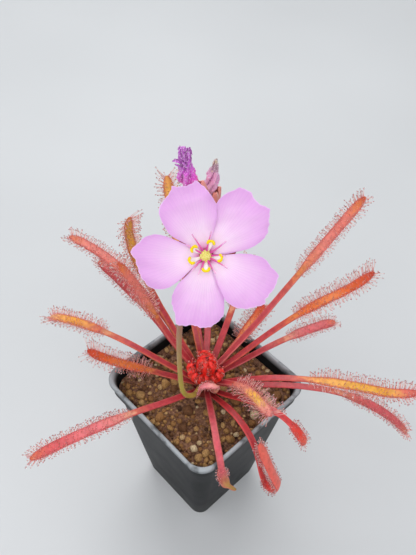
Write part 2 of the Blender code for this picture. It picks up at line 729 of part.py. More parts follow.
def petal_sheet(name, angle, length, width, collection, rng):
    """One petal as an open, wedge-shaped, gently waved sheet with a toothed end."""
    phase = rng.uniform(0, 2 * math.pi)
    bm = bmesh.new()
    grid = []
    for i in range(PETAL_CELLS + 1):
        along = i / PETAL_CELLS
        spread = math.sin(math.pi / 2 * min(along * 1.12, 1.0)) ** 1.3
        half = 0.5 * width * (PETAL_NECK + (1.0 - PETAL_NECK) * spread)
        half *= 1.0 - PETAL_END_TAPER * ease((along - 0.72) / 0.28)
        line = []
        for j in range(PETAL_CELLS + 1):
            across = 2 * j / PETAL_CELLS - 1
            tooth = PETAL_TOOTH * (j % 2) * ease((along - 0.8) / 0.2)
            back = PETAL_SHOULDER * length * abs(across) ** 2.6 * ease((along - 0.35) / 0.65)
            reach = PETAL_FOOT + (length - PETAL_FOOT) * along - back - tooth
            lift = PETAL_RISE * math.sin(2.2 * along) - PETAL_SINK
            lift -= PETAL_DISH * across * across * along
            lift += PETAL_WAVE * along * math.sin(2.6 * across + phase)
            line.append(bm.verts.new((reach, half * across, lift)))
        grid.append(line)
    for near, far in zip(grid, grid[1:]):
        for j in range(PETAL_CELLS):
            bm.faces.new((near[j], far[j], far[j + 1], near[j + 1]))
    bmesh.ops.triangulate(bm, faces=bm.faces)
    mesh = bpy.data.meshes.new(name)
    bm.to_mesh(mesh)
    bm.free()
    mesh.transform(Matrix.Rotation(math.radians(angle), 4, "Z"))
    petal = add_object(name, mesh, collection)
    shell = petal.modifiers.new("shell", "SOLIDIFY")
    shell.thickness = PETAL_THICKNESS
    shell.offset = -1.0
    return apply_modifiers(petal)


def make_petals(collection):
    """The five petals, joined at the ring that they stand on."""
    rng = random.Random(3)
    ring = ring_mesh(*PETAL_RING)
    petals = object_from_bmesh("flower_petals", ring, collection, "orchid_pink_petal")
    pieces = []
    for k, (angle, length, width) in enumerate(PETALS):
        sheet = petal_sheet(f"petal_{k}", angle, length, width, collection, rng)
        tilt = math.radians(UPPER_TILT if k in UPPER_PETALS else LOWER_TILT)
        sheet.data.transform(Matrix.Rotation(tilt, 4, direction(angle - 90, 0)))
        pieces.append(sheet)
    fuse(petals, pieces)
    petals.data.transform(flower_matrix())
    shade_round(petals, 35)
    return petals


def ring_mesh(inner, outer, low, high):
    """A flat ring about Z as a closed bmesh."""
    bm = bmesh.new()
    loops = []
    for radius, height in ((inner, low), (outer, low), (outer, high), (inner, high)):
        loop = []
        for k in range(RING_SIDES):
            angle = 2 * math.pi * k / RING_SIDES
            loop.append(bm.verts.new((radius * math.cos(angle), radius * math.sin(angle), height)))
        loops.append(loop)
    for near, far in zip(loops, loops[1:] + loops[:1]):
        for k in range(RING_SIDES):
            after = (k + 1) % RING_SIDES
            bm.faces.new((near[k], near[after], far[after], far[k]))
    return bm


def calyx_mesh(profile, lobe):
    """A five-lobed cup about Z, open at its top, as a closed bmesh.

    The profile holds radius and height from the foot to the notches. The lobe is how far, outwards
    and up, the tip of a sepal stands beyond them."""
    outside, inside = [], []
    for i, (radius, height) in enumerate(profile):
        share = (i / (len(profile) - 1)) ** 3
        outer, inner = [], []
        for k in range(RING_SIDES):
            angle = 2 * math.pi * k / RING_SIDES
            crest = share * (1 - k % 2)
            way = Vector((math.cos(angle), math.sin(angle), 0.0))
            rim = radius * (1.0 - 0.10 * share * (k % 2)) + lobe[0] * crest
            up = Vector((0.0, 0.0, height + lobe[1] * crest))
            floor = Vector((0.0, 0.0, CALYX_WALL if i == 0 else 0.0))
            outer.append(way * rim + up)
            inner.append(way * max(rim - CALYX_WALL, 0.2 * rim) + up + floor)
        outside.append(outer)
        inside.append(inner)
    bm, _ = loft(outside + inside[::-1])
    return bm


def make_flower_calyx(collection):
    """The open flower's calyx, a shallow lobed cup with the receptacle in its middle."""
    bm = calyx_mesh(CALYX_PROFILE, CALYX_LOBE)
    calyx = object_from_bmesh("flower_calyx", bm, collection, "reddish_sepal")
    post = cylinder_solid("receptacle", *RECEPTACLE, RING_SIDES, collection)
    fuse(calyx, [post])
    calyx.data.transform(flower_matrix())
    shade_round(calyx)
    return calyx


def make_pistil(collection):
    """The round ovary with six thin style arms spread from its top."""
    bm = bmesh.new()
    bmesh.ops.create_uvsphere(bm, u_segments=8, v_segments=6, radius=OVARY_RADIUS)
    bmesh.ops.translate(bm, verts=bm.verts, vec=(0, 0, OVARY_RADIUS - OVARY_SINK))
    pistil = object_from_bmesh("flower_pistil", bm, collection, "lime_pistil")
    arms = []
    for k, angle in enumerate(STYLE_ANGLES):
        way = direction(angle, 0)
        route = [way * reach + Vector((0, 0, height)) for reach, height in STYLE]
        arms.append(tube(f"style_{k}", route, STYLE_RADII, collection, None, 0))
    fuse(pistil, arms)
    pistil.data.transform(flower_matrix())
    shade_round(pistil)
    return pistil


def make_stamens(collection):
    """Five stamens, each a broad filament with a two-lobed anther, standing on one low ring."""
    ring = ring_mesh(*STAMEN_RING)
    stamens = object_from_bmesh("flower_stamens", ring, collection, "cream_stamen")
    pieces = []
    for k, angle in enumerate(STAMEN_ANGLES):
        way = direction(angle, 0)
        route = [way * reach + Vector((0, 0, height)) for reach, height in FILAMENT]
        pieces.append(tube(f"filament_{k}", route, FILAMENT_RADII, collection, None, 0))
        bm = bmesh.new()
        bmesh.ops.create_icosphere(bm, subdivisions=1, radius=ANTHER_RADIUS)
        bmesh.ops.scale(bm, verts=bm.verts, vec=ANTHER_SHAPE)
        bmesh.ops.rotate(bm, verts=bm.verts, matrix=Matrix.Rotation(math.radians(angle), 3, "Z"))
        reach, height = FILAMENT[-1]
        bmesh.ops.translate(bm, verts=bm.verts, vec=way * reach + Vector((0, 0, height)))
        pieces.append(object_from_bmesh(f"anther_{k}", bm, collection))
    fuse(stamens, pieces)
    stamens.data.transform(flower_matrix())
    shade_round(stamens)
    return stamens


def make_spent_flower(name, foot, tip, thick, collection, seed):
    """A flower that is over: its closed calyx, and the twisted, shrivelled petals that stand in it."""
    rng = random.Random(seed)
    length = (Vector(tip) - Vector(foot)).length
    place = axis_matrix(foot, tip)
    bm = calyx_mesh(SPENT_CALYX, SPENT_LOBE)
    calyx = object_from_bmesh(name + "_calyx", bm, collection, "reddish_sepal")
    calyx.data.transform(place)
    shade_round(calyx)
    rings = []
    inner_foot = CALYX_WALL + SEAT_GAP
    for radius, share in SPENT_FOOT + tuple((thick * part, share) for part, share in SPENT_TOP):
        height = inner_foot + (length - inner_foot) * share
        crumple = ease((share - 0.38) / 0.2)
        ring = []
        for k in range(SPENT_POINTS):
            stray = rng.uniform(-SPENT_CRUMPLE, SPENT_CRUMPLE)
            fold = 1.0 - SPENT_FOLD * crumple * (k % 2) + crumple * stray
            angle = 2 * math.pi * k / SPENT_POINTS + SPENT_TWIST * share
            uneven = crumple * rng.uniform(-SPENT_RAGGED, SPENT_RAGGED)
            x = radius * fold * math.cos(angle)
            y = radius * fold * math.sin(angle)
            ring.append(Vector((x, y, height + uneven)))
        rings.append(ring)
    bm, _ = loft(rings)
    petals = object_from_bmesh(name + "_petals", bm, collection, "withered_purple_petal")
    petals.data.transform(place)
    return petals


def make_buds(collection):
    """Closed buds in a row along the nodding tip, smallest at its end."""
    route = tip_route()
    right = flower_basis()[0]
    for k, (length, side) in enumerate(zip(BUD_LENGTHS, BUD_SIDES)):
        spot = route[2 + 2 * k]
        way = (spot - route[1 + 2 * k]).normalized()
        out = way
        if side:
            out = (way * BUD_FORWARD + right * side - FLOWER_AXIS * BUD_DROOP).normalized()
        foot = spot + out * (SEAT_GAP + BUD_SEAT * abs(side))
        rings = []
        for share, width in BUD_PROFILE:
            radius = BUD_GIRTH * length * width
            ring = []
            for j in range(BUD_POINTS):
                angle = 2 * math.pi * j / BUD_POINTS
                ring.append(Vector((radius * math.cos(angle), radius * math.sin(angle), length * share)))
            rings.append(ring)
        bm, _ = loft(rings)
        bud = object_from_bmesh(f"bud_{k + 1}", bm, collection, "reddish_sepal")
        bud.data.transform(axis_matrix(foot, foot + out))
        shade_round(bud)


def main():
    clear_scene()
    collection = new_collection("potted_sundew")
    cutters = new_collection("cutters")
    make_pot(collection, cutters)
    make_soil(collection, cutters)
    make_crown(collection)
    make_leaves(collection)
    make_scape(collection)
    make_flower_calyx(collection)
    make_petals(collection)
    make_pistil(collection)
    make_stamens(collection)
    for seed, (name, _, _, foot, tip, thick) in enumerate(SPENT_FLOWERS):
        make_spent_flower(name, foot, tip, thick, collection, 40 + seed)
    make_buds(collection)


main()
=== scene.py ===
"""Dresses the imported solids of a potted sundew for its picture.

Metres, +Z up, in the frame of the solids: the origin is the middle of the pot's flat foot, and the
pot's sides lie along X and Y. A heading is turned from +X about +Z and a rise is the angle above the
level, both in degrees. Colours are sRGB hex values.
"""

import math
import random
from functools import partial

import bmesh
import bpy
import numpy as np
from mathutils import Matrix, Vector


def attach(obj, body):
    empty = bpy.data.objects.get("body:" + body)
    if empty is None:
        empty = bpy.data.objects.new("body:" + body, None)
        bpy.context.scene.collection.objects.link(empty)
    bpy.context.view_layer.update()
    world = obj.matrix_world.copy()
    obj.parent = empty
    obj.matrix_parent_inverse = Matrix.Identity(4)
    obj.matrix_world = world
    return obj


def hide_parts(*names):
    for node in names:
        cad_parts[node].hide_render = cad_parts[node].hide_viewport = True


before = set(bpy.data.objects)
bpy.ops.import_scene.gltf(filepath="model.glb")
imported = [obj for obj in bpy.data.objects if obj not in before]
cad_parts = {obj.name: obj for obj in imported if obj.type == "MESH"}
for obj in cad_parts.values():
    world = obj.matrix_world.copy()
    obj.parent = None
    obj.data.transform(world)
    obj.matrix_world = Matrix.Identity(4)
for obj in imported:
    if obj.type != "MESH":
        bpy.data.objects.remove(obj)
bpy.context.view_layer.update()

# Camera: its place, the way it looks, its turn about that way, and its focal length on a 36 mm sensor.
CAMERA_PLACE = (0.1181, -0.1191, 0.3551)
CAMERA_HEADING = 135.0
CAMERA_RISE = -48.68
CAMERA_ROLL = 2.37
CAMERA_LENS = 42.16

# Soft boxes: place, aim, size and power.
SOFT_BOXES = (
    ((-0.48, 0.44, 1.00), (0.02, -0.02, 0.10), 0.9, 7.6),
    ((0.75, -0.35, 0.75), (0.03, -0.03, 0.16), 0.8, 2.8),
    ((-0.55, -0.75, 0.60), (0.02, -0.03, 0.14), 0.8, 2.0),
    ((0.30, -0.50, 0.95), (0.01, -0.01, 0.10), 0.6, 3.0),
)

# Floor and the even light of the room.
FLOOR_REACH = 3.0
ROOM_LIGHT = "#E6EAEE"
ROOM_STRENGTH = 0.46

# Pot, as in the solids.
POT_HEIGHT = 0.090
POT_HALF = 0.035
FOOT_HALF = 0.022
RIM_CORNER = 0.0082
FOOT_CORNER = 0.0060
WALL = 0.0011
FLOOR = 0.0014
COLLAR_FOOT = 0.0805
COLLAR_STEP = 0.0018
LIP_WIDTH = 0.0014
LIP_HEIGHT = 0.0026
CORNER_STEPS = 10
SIDE_STEPS = 6
DRAIN_RADIUS = 0.0030
DRAIN_REACH = 0.0125
DRAIN_CUT = 0.008
# Heights between which the pot's inside widens into the collar.
COLLAR_INSIDE = (COLLAR_FOOT - 0.0018, COLLAR_FOOT + 0.0004)

# Potting mix, with its relief as height, size and seed for each size of lump.
SOIL_TOP = 0.0815
SOIL_CORNER_EXTRA = 0.0008
SEAT_GAP = 0.0003
SOIL_RINGS = 30
SOIL_SINK = 0.0002
SOIL_RELIEF = ((0.00045, 0.007, 5), (0.0003, 0.0026, 6), (0.00015, 0.0011, 7))
# Grains that lie on the mix: how many, with their least and greatest radii, how close two may lie, the
# lumps and flats of each, how far it is stretched each way, tilted, and raised in radii, its tone, and how
# clear it stays of the stem's middle.
GRAIN_SIZES = ((36, 0.0021, 0.0029), (110, 0.0015, 0.0021), (400, 0.0010, 0.0015), (1500, 0.0005, 0.0010))
GRAIN_OVERLAP = 0.78
GRAIN_LUMPS = ((0.13, 1.6, 0),)
GRAIN_FLATS = 4
FLAT_DEPTHS = (0.62, 0.85)
GRAIN_STRETCHES = ((0.8, 1.15), (0.75, 1.05), (0.6, 0.95))
GRAIN_TILT = 0.4
GRAIN_RISES = (-0.05, 0.40)
GRAIN_TONES = (0.64, 0.64, 0.46, 0.46)
GRAIN_TONE_SPREAD = 0.22
STEM_CLEARANCE = 0.0050

# Short stem with the tuft of young leaves at its top.
STEM_RADIUS = 0.0045
STEM_FOOT = 0.0693
STEM_TOP = 0.0985
STEM_PROFILE = (
    (0.0026, STEM_TOP + 0.0011),
    (0.0038, STEM_TOP + 0.0006),
    (STEM_RADIUS, STEM_TOP - 0.0008),
    (STEM_RADIUS, 0.0935),
    (STEM_RADIUS, 0.0880),
    (STEM_RADIUS, 0.0820),
    (STEM_RADIUS, STEM_FOOT + 0.0015),
    (0.0030, STEM_FOOT),
)
HEART_LEAVES = 7
HEART_LENGTHS = (0.006, 0.008)
HEART_WIDTHS = (0.0017, 0.0017, 0.0020)
HEART_SEAT_RADIUS = 0.0019
HEART_SEAT_DEPTH = 0.0012
HEART_STRAY = 12
HEART_LEAN = (48, 66)
HEART_UNBEND = (12, 45)
HEART_CURL = (150, 200)
HEART_STOUTNESS = 0.9
# Smaller young leaves that hang out of the tuft where no old leaf stands: headings, lengths, widths.
OUTER_HEADINGS = (-138, -112, -88, -64, -40, -14, 8, 34)
OUTER_LENGTHS = (0.003, 0.008)
OUTER_WIDTHS = (0.0014, 0.0014, 0.0017)
OUTER_SEAT_RADIUS = 0.0036
OUTER_SEAT_DEPTHS = (0.0012, 0.0022)
OUTER_LEAN = (-12, 10)
OUTER_TURN = (-16, 16)
OUTER_UNBEND = (0, 18, 75, 140, 205)
OUTER_STOUTNESS = 0.8
# Scales that the oldest leaves left, in a spiral up the stem: how many, turn, lowest place and climb,
# rise and how far it falls off either way, sideways bend, then length, width and thickness.
SCALES = 34
SCALE_TURN = 137.5
SCALE_FOOT = 0.0812
SCALE_CLIMB = 0.0138
SCALE_RISES = (56, 78)
SCALE_FALL = (12, -10)
SCALE_BEND = (-14, 14)
SCALE_SIZE = (0.0046, 0.0024, 0.0004)

# Leaf straps: widths at base, neck and blade, thickness of petiole and blade, and the shares of the
# blade over which it widens, thins out, gets its round end and, where it ages, shrivels.
LEAF_WIDTHS = (0.0027, 0.0032, 0.0050)
YOUNG_WIDTHS = (0.0026, 0.0027, 0.0031)
YOUNG_STOUTNESS = 1.7
SEAT_THICKNESS = 0.0012
PETIOLE_THICKNESS = 0.00115
BLADE_THICKNESS = 0.00085
WALK_STEPS = 60
NECK_SHARE = 0.22
THINNING_SHARE = 0.15
TIP_SHARE = 0.18
SHRIVEL_SHARES = (0.58, 0.20)

# Tentacles: lanes across the blade as place, reach and tilt out of the blade, for even and odd rows,
# then the radii of stalk, gland and drop.
TENTACLE_PITCH = 0.00082
LANES = (
    ((0.50, 0.0036, 2), (0.46, 0.0030, 26), (0.33, 0.0023, 48), (0.16, 0.0015, 70)),
    ((0.50, 0.0033, 13), (0.41, 0.0026, 38), (0.24, 0.0018, 60), (0.06, 0.0013, 84)),
)
STALK_RADII = (0.00015, 0.00010, 0.00008)
GLAND_RADIUS = 0.00013
GLAND_STRETCH = 1.5
DROP_STRETCH = 1.12
FULL_REACH = 0.003
DROP_RADII = (0.00026, 0.00044)
ROOT_DEPTH = 0.00012
# Tentacles outside the first lane stand in line along the edge; inside the second only some have grown.
RIM_LANE = 0.45
INNER_LANE = 0.28
# How far tentacles stray: in rows along the blade, in widths across it, in shares of their reach, in
# degrees of tilt, and in their lean and bend towards the tip. Then how far they bend up at most.
ROW_STRAY = 0.45
LANE_STRAY = 0.04
REACH_STRAY = (0.72, 1.22)
TILT_STRAY = 9
LEAN_STRAY = 0.12
BEND_STRAY = 0.08
BEND_UP = 0.30
# For each kind of leaf: how strong its tentacles are, the share of the blade that has them, and the
# share of those near its middle that have grown.
VIGOUR = {
    "golden": (1.0, 1.0, 0.35),
    "amber": (1.0, 1.0, 0.35),
    "peach": (0.9, 1.0, 0.35),
    "hazy": (1.25, 1.0, 0.35),
    "orange": (1.15, 1.0, 0.4),
    "salmon": (0.80, 1.0, 0.4),
    "rosy": (0.62, 1.0, 0.4),
    "coral": (0.45, 1.0, 0.4),
    "ageing": (0.30, 0.5, 0.5),
    "young": (0.28, 0.9, 0.0),
    "heart": (0.62, 1.0, 0.6),
}

# Colours of each kind of leaf: along it, where 0 to 0.5 is the petiole and 0.5 to 1 the blade, then at
# the edges and below, and how wet the skin looks. Most have the same red petiole.
PETIOLE = "0.0 #8E2028, 0.08 #B02C36, 0.36 #C43E48, 0.46 #D05C44, "
LEAF_COLOURS = {
    "golden": (
        PETIOLE + "0.50 #E8934A, 0.55 #F2AC4A, 0.72 #F9C04E, 0.88 #F4B044, 0.94 #DC6044, 1.0 #CC4640",
        "#D05048", "#C0463C", 0.25,
    ),
    "amber": (
        PETIOLE + "0.50 #E8934A, 0.55 #EFA346, 0.72 #F2B248, 0.90 #F4B84C, 1.0 #E89A48",
        "#DC7C44", "#D8883E", 0.25,
    ),
    "peach": (
        PETIOLE + "0.50 #DA9060, 0.56 #CC543E, 0.66 #E6943A, 0.78 #F4B03E, 0.88 #F6B060, 1.0 #FABC8E",
        "#DC6A48", "#C8584C", 0.25,
    ),
    "hazy": (
        PETIOLE + "0.50 #D8786A, 0.64 #E48E78, 0.72 #EDAE48, 0.83 #F0B83C, 0.89 #E6967A, 1.0 #DA7470",
        "#DA7C78", "#C8584C", 0.25,
    ),
    "orange": (
        PETIOLE + "0.50 #E88E4C, 0.56 #EC7A38, 0.72 #F28C40, 0.86 #EE7238, 1.0 #DC5238",
        "#DC583E", "#C84A3C", 0.25,
    ),
    "salmon": (
        PETIOLE + "0.50 #E58C4A, 0.58 #E68864, 0.70 #F08A7E, 0.88 #EC8474, 0.95 #E8844E, 1.0 #D06040",
        "#DC6E66", "#C04E50", 0.25,
    ),
    "rosy": (
        PETIOLE + "0.50 #E29A78, 0.57 #E4827A, 0.68 #E46C72, 0.90 #E06468, 1.0 #E07650",
        "#D2545A", "#C4484E", 0.25,
    ),
    "coral": (
        "0.0 #8E2028, 0.10 #B42C34, 0.40 #C83C46, 0.60 #F0524A, 0.75 #F44636, 1.0 #F87862",
        "#EE5654", "#F76C5A", 0.25,
    ),
    "ageing": (
        "0.0 #9A242C, 0.10 #C03C48, 0.45 #DC5C6A, 0.62 #E0686E, 0.74 #D08060, 0.84 #C49858, 1.0 #A08444",
        "#D0746C", "#D0686A", 0.05,
    ),
    "young": (
        "0.0 #C89A4A, 0.30 #DDA472, 0.50 #E8A48C, 0.68 #F08C94, 1.0 #F0848E",
        "#EC8C96", "#E8A08C", 0.25,
    ),
    "heart": (
        "0.0 #A81418, 0.25 #E41C18, 0.5 #FF2C1E, 0.8 #FF3A2A, 1.0 #F42C2A",
        "#F0261E", "#F4261E", 0.25,
    ),
}

# Each leaf: number, headings and rises from seat to tip, petiole and blade lengths, height of its seat,
# its kind and how deep its colour is. One turns back up in a hairpin, and a young one arches over.
HAIRPIN_HEADINGS = (-9, -9, -10, -11, -12, 18, 24, 12, 8)
HAIRPIN_RISES = (27, 28, 25, 18, 6, -12, -36, -55, -66, -68, -68, 22, 112, 114, 115, 116, 117, 118)
ARCH_HEADINGS = (-17, -17, -25, -135, -145, -145)
ARCH_RISES = (20, 50, 84, 56, -20, -80, -84)
LEAVES = (
    (1, (86, 82), (24, 38, 41, 42), 0.060, 0.046, 0.0962, "salmon", 0.15),
    (2, (74, 60), (20, 35, 30, 20, 48), 0.046, 0.042, 0.0942, "orange", 0.55),
    (3, (69, 69), (16, 20, 8, -8), 0.039, 0.026, 0.0922, "rosy", 0.05),
    (4, (32, 43), (33, 28, 12, -2, -12, 22), 0.046, 0.050, 0.0904, "golden", 0.20),
    (5, (39, 29), (8, 18, 5, -25, -50), 0.060, 0.040, 0.0886, "rosy", 0.20),
    (6, (9, 14), (16, 34, 27, 8, -38, -56), 0.045, 0.013, 0.0868, "coral", 0.20),
    (7, HAIRPIN_HEADINGS, HAIRPIN_RISES, 0.056, 0.044, 0.0848, "coral", 0.10),
    (8, (-35, -35, -35, -28, 40), (22, 17, 8, -10, -74, -16), 0.042, 0.015, 0.0884, "ageing", 0.20),
    (9, (-91, -111), (26, 24, 3, -20), 0.040, 0.046, 0.0868, "rosy", 0.25),
    (10, (217, 220), (13, 10, 13, 36), 0.022, 0.032, 0.0868, "orange", 0.70),
    (11, (211, 199), (26, 22, 0, -28), 0.048, 0.034, 0.0888, "peach", 0.05),
    (12, (174, 201), (31, 34, 22, 2), 0.054, 0.038, 0.0926, "salmon", 0.95),
    (13, (183, 185), (30, 31, 20, 6), 0.042, 0.032, 0.0906, "rosy", 0.65),
    (14, (180, 181), (37, 42, 56, 104), 0.049, 0.036, 0.0946, "amber", 0.10),
    (15, (154, 154), (42, 46, 48, 55), 0.050, 0.040, 0.0964, "amber", 0.10),
    (16, (116, 116), (16, 20, 28, 40), 0.034, 0.028, 0.0908, "rosy", 0.40),
    (17, (101, 101), (7, 6, 8, 28), 0.024, 0.023, 0.0888, "orange", 0.50),
    (18, (20, 12, -8, -14, -14), (26, 34, 24, 14, 12), 0.012, 0.028, 0.0934, "hazy", 0.10),
    (19, (135, 129), (30, 38, 40, 30), 0.044, 0.038, 0.0926, "rosy", 0.35),
    (20, (197, 193), (42, 52, 56, 40), 0.034, 0.030, 0.0966, "salmon", 0.45),
    (21, (143, 149), (10, 8, -4, -20), 0.036, 0.036, 0.0868, "rosy", 0.75),
    (22, ARCH_HEADINGS, ARCH_RISES, 0.015, 0.016, 0.0914, "young", 0.10),
)

# Scape, its nodding tip as points right of, above and out of the open flower, and the pedicels.
SCAPE_ROUTE = (
    (0.0016, -0.0045, 0.0911),
    (0.0031, -0.0100, 0.0921),
    (0.0033, -0.0150, 0.0975),
    (0.0042, -0.0184, 0.1080),
    (0.0081, -0.0230, 0.1300),
    (0.0216, -0.0350, 0.1800),
    (0.0392, -0.0484, 0.2280),
    (0.0518, -0.0557, 0.2560),
    (0.0577, -0.0583, 0.2700),
    (0.0618, -0.0596, 0.2795),
)
SCAPE_RADII = (0.00125, 0.00070)
NODDING_TIP = (
    (0.0030, 0.0055, -0.0082),
    (0.0030, 0.0025, -0.0070),
    (0.0030, -0.0008, -0.0066),
    (0.0028, -0.0040, -0.0068),
    (0.0024, -0.0068, -0.0076),
)
NODDING_RADII = (0.00066, 0.00042)
OPEN_PEDICEL = ((0.0010, 0.0036, -0.0066), (0.0000, 0.0000, -0.0037))
PEDICEL_RADII = (0.00055, 0.00045)
# Glandular down: reach of a hair on the stalks, its radii at foot and end, and radius and stretch of the
# head, then its least and greatest reach on sepals and buds.
DOWN_REACH = 0.00042
DOWN_RADII = (0.0000308, 0.0000176)
DOWN_HEAD = 0.00005
DOWN_STRETCH = 1.1
SEPAL_DOWN_REACH = (0.0003, 0.0006)
BUD_DOWN_REACH = (0.0002, 0.0004)
# Buds along the nodding tip, in order: length and side of each, then their profile as shares of length and
# girth, their points, rings, ribs and hairs, and how they seat on the tip and lean.
BUD_LENGTHS = (0.0036, 0.0032, 0.0028, 0.0024)
BUD_SIDES = (1, -1, 1, 0)
BUD_PROFILE = (
    (0.0, 0.30), (0.10, 0.62), (0.22, 0.85), (0.36, 0.97), (0.5, 1.0),
    (0.64, 0.90), (0.78, 0.72), (0.9, 0.44), (1.0, 0.16),
)
BUD_POINTS = 25
BUD_RINGS = 18
BUD_RIBS = 0.10
BUD_HAIRS = 60
BUD_GIRTH = 0.36
BUD_SEAT = 0.00072
BUD_FORWARD = 0.5
BUD_DROOP = 0.35
TIP_POINTS = 9

# Calyx of the open flower: the line of a sepal as reach and height, the cup as its heights, then radii at
# shares of it and the number of rings, and the turn of the sepals with their width and thickness.
CALYX_PROFILE = (
    (0.0005, -0.0035), (0.0014, -0.0031), (0.0022, -0.0023),
    (0.0031, -0.0020), (0.0040, -0.0020), (0.0048, -0.0021),
)
CALYX_CUP = ((-0.0036, -0.0012), (0, 0.35, 0.7, 1), (0.0006, 0.00125, 0.0013, 0.0007), 10)
CALYX_TURN = 8.0
CALYX_SEPAL = (0.0024, 0.00032)

# Open flower. Each petal is its angle, the lifts of its first and last edge, and its outline as places
# right of and above the flower's middle, in millimetres, anticlockwise as the camera sees them.
FLOWER_MIDDLE = Vector((0.0688, -0.0705, 0.2814))
FLOWER_AXIS = Vector((0.481, -0.481, 0.733)).normalized()
FLOWER_RIGHT = Vector((1, 1, 0)).normalized()
FLOWER_UP = FLOWER_AXIS.cross(FLOWER_RIGHT).normalized()
PETALS = (
    (109, 0.45, 0.05, (
        (0.75, 2.19), (1.60, 5.18), (1.62, 7.73), (0.75, 9.22), (-0.21, 10.39), (-1.38, 11.35),
        (-2.30, 10.78), (-3.94, 10.39), (-5.11, 10.50), (-5.22, 9.86), (-6.71, 7.94), (-7.03, 6.88),
        (-6.82, 5.60), (-5.64, 3.47), (-4.58, 2.62), (-2.98, 1.87))),
    (48, 0.0, -0.35, (
        (3.30, 0.28), (5.00, 0.70), (6.71, 1.13), (8.41, 2.19), (9.27, 3.26), (9.55, 4.32),
        (9.59, 5.60), (9.69, 7.09), (9.05, 7.48), (8.20, 7.79), (7.35, 8.80), (6.92, 9.60),
        (6.07, 10.18), (5.01, 10.39), (4.15, 9.86), (2.88, 9.33), (1.60, 7.94), (1.07, 5.60), (0.75, 3.47))),
    (-27, 0.40, 0.05, (
        (1.17, -2.49), (1.81, -4.41), (2.88, -6.54), (3.73, -7.39), (4.79, -7.82), (6.28, -7.99),
        (7.99, -7.60), (8.95, -7.18), (9.12, -6.54), (9.90, -5.47), (10.54, -4.62), (11.03, -3.02),
        (10.44, -2.17), (9.86, -1.70), (9.48, -1.00), (8.41, -0.15), (6.71, 0.28), (5.00, 0.34),
        (3.30, 0.06))),
    (-93, 0.0, -0.35, (
        (-1.81, -1.64), (-2.66, -2.71), (-4.15, -4.20), (-5.00, -5.69), (-5.18, -7.18), (-4.79, -8.46),
        (-4.58, -9.52), (-4.41, -10.37), (-3.30, -10.63), (-2.24, -10.44), (-1.38, -10.59), (-0.75, -10.86),
        (0.75, -10.76), (1.70, -10.16), (2.66, -9.10), (2.83, -7.39), (2.66, -5.90), (1.81, -4.20),
        (1.00, -2.49))),
    (190, 0.10, -0.10, (
        (-2.98, 1.73), (-5.00, 2.58), (-6.28, 3.05), (-7.56, 3.26), (-9.05, 2.88), (-10.12, 1.98),
        (-11.44, 0.75), (-10.76, -0.36), (-10.33, -1.64), (-10.07, -2.71), (-9.27, -3.98), (-8.20, -4.94),
        (-6.92, -5.11), (-5.43, -4.73), (-3.51, -3.34), (-2.24, -2.07))),
)
CLAW_REACH = 0.0010
CLAW_HALF = 0.00068
PETAL_SCALE = 0.00102
PETAL_REACH = 0.0115
PETAL_SEAT = -0.0010
PETAL_BOWL = (0.0019, 1.9)
PETAL_FLARE = 0.0004
PETAL_ROWS = 26
PETAL_THICKNESS = 0.00016
# Waves of a petal's sheet, and the tiny uneven teeth along its outer rim, under a millimetre apart: each
# as height, size and seed. The teeth start this far out and are at full height a little further on.
PETAL_WAVES = ((0.00016, 0.0062, 60), (0.00006, 0.0025, 70))
PETAL_TEETH = ((0.00007, 0.0011, 90), (0.00005, 0.0006, 91))
TEETH_START = 0.0045
TEETH_RISE = 0.003

# Stamens: angle, reach and turn of the anther. A filament is reach as a share and height in
# millimetres, an anther is out and over in millimetres from the filament's end.
STAMENS = ((68, 0.00216, 12), (149, 0.00212, -12), (199, 0.00232, 20), (272, 0.00208, 5), (-9, 0.00222, -6))
FILAMENT_WIDTHS = (0.00046, 0.00044)
FILAMENT_THICKNESS = 0.00024
FILAMENT = ((0.40, 0.10), (0.60, 0.50), (0.82, 0.85), (1.0, 1.20), (1.10, 1.35))
ANTHER_RADIUS = 0.00023
ANTHER = (
    (-0.36, 0.50), (-0.12, 0.48), (0.18, 0.36), (0.30, 0.0), (0.18, -0.36), (-0.12, -0.48), (-0.36, -0.50),
)

# Style arms: angle, reach and sideways bow, the unit of that bow, then each as reach and height from the
# ovary's foot, and its radii at shares of its length.
STYLES = (
    (119, 0.0039, 8), (81, 0.0038, -10), (31, 0.0038, 10), (5, 0.0031, -6), (-25, 0.0038, -10),
    (-64, 0.0030, 6), (-108, 0.0030, -6), (-137, 0.0031, 8), (148, 0.0034, 4),
)
STYLE_BOW = 0.00003
STYLE_FOOT = ((0.0003, 0.0004), (0.0009, 0.00075), (0.0018, 0.00095))
STYLE_TAPER = ((0, 0.4, 0.85, 1), (0.00018, 0.00014, 0.00010, 0.00010))
OVARY_RADIUS = 0.00096

# Two flowers that are over, as in the solids: name, foot, bend and end of the pedicel, tip, girth,
# form of the twist from foot to tip, how far it bows left in the picture, least rise of its ragged ends.
SPENT_STATIONS = (0, 0.12, 0.24, 0.38, 0.52, 0.64, 0.72, 0.80, 0.88, 0.96, 1.0)
SPENT_FLOWERS = (
    ("spent_flower_1", (0.0586, -0.0587, 0.2722), (0.0588, -0.0614, 0.2772),
     (0.0597, -0.0628, 0.2820), (0.0591, -0.0672, 0.2947), 0.00132,
     (0.3, 0.66, 0.88, 1.0, 0.90, 0.74, 0.60, 0.52, 0.60, 0.5, 0.2), 0.0007, 35),
    ("spent_flower_2", (0.0561, -0.0577, 0.2665), (0.0568, -0.0586, 0.2722),
     (0.0577, -0.0588, 0.2773), (0.0592, -0.0597, 0.2887), 0.00098,
     (0.3, 0.55, 0.78, 0.98, 1.0, 0.94, 0.78, 0.54, 0.42, 0.40, 0.2), 0.0003, 68),
)
SPENT_SEPAL_PROFILE = (
    (0.0005, 0.0001), (0.0009, 0.0009), (0.0011, 0.0022), (0.00112, 0.0034), (0.0010, 0.0047),
)
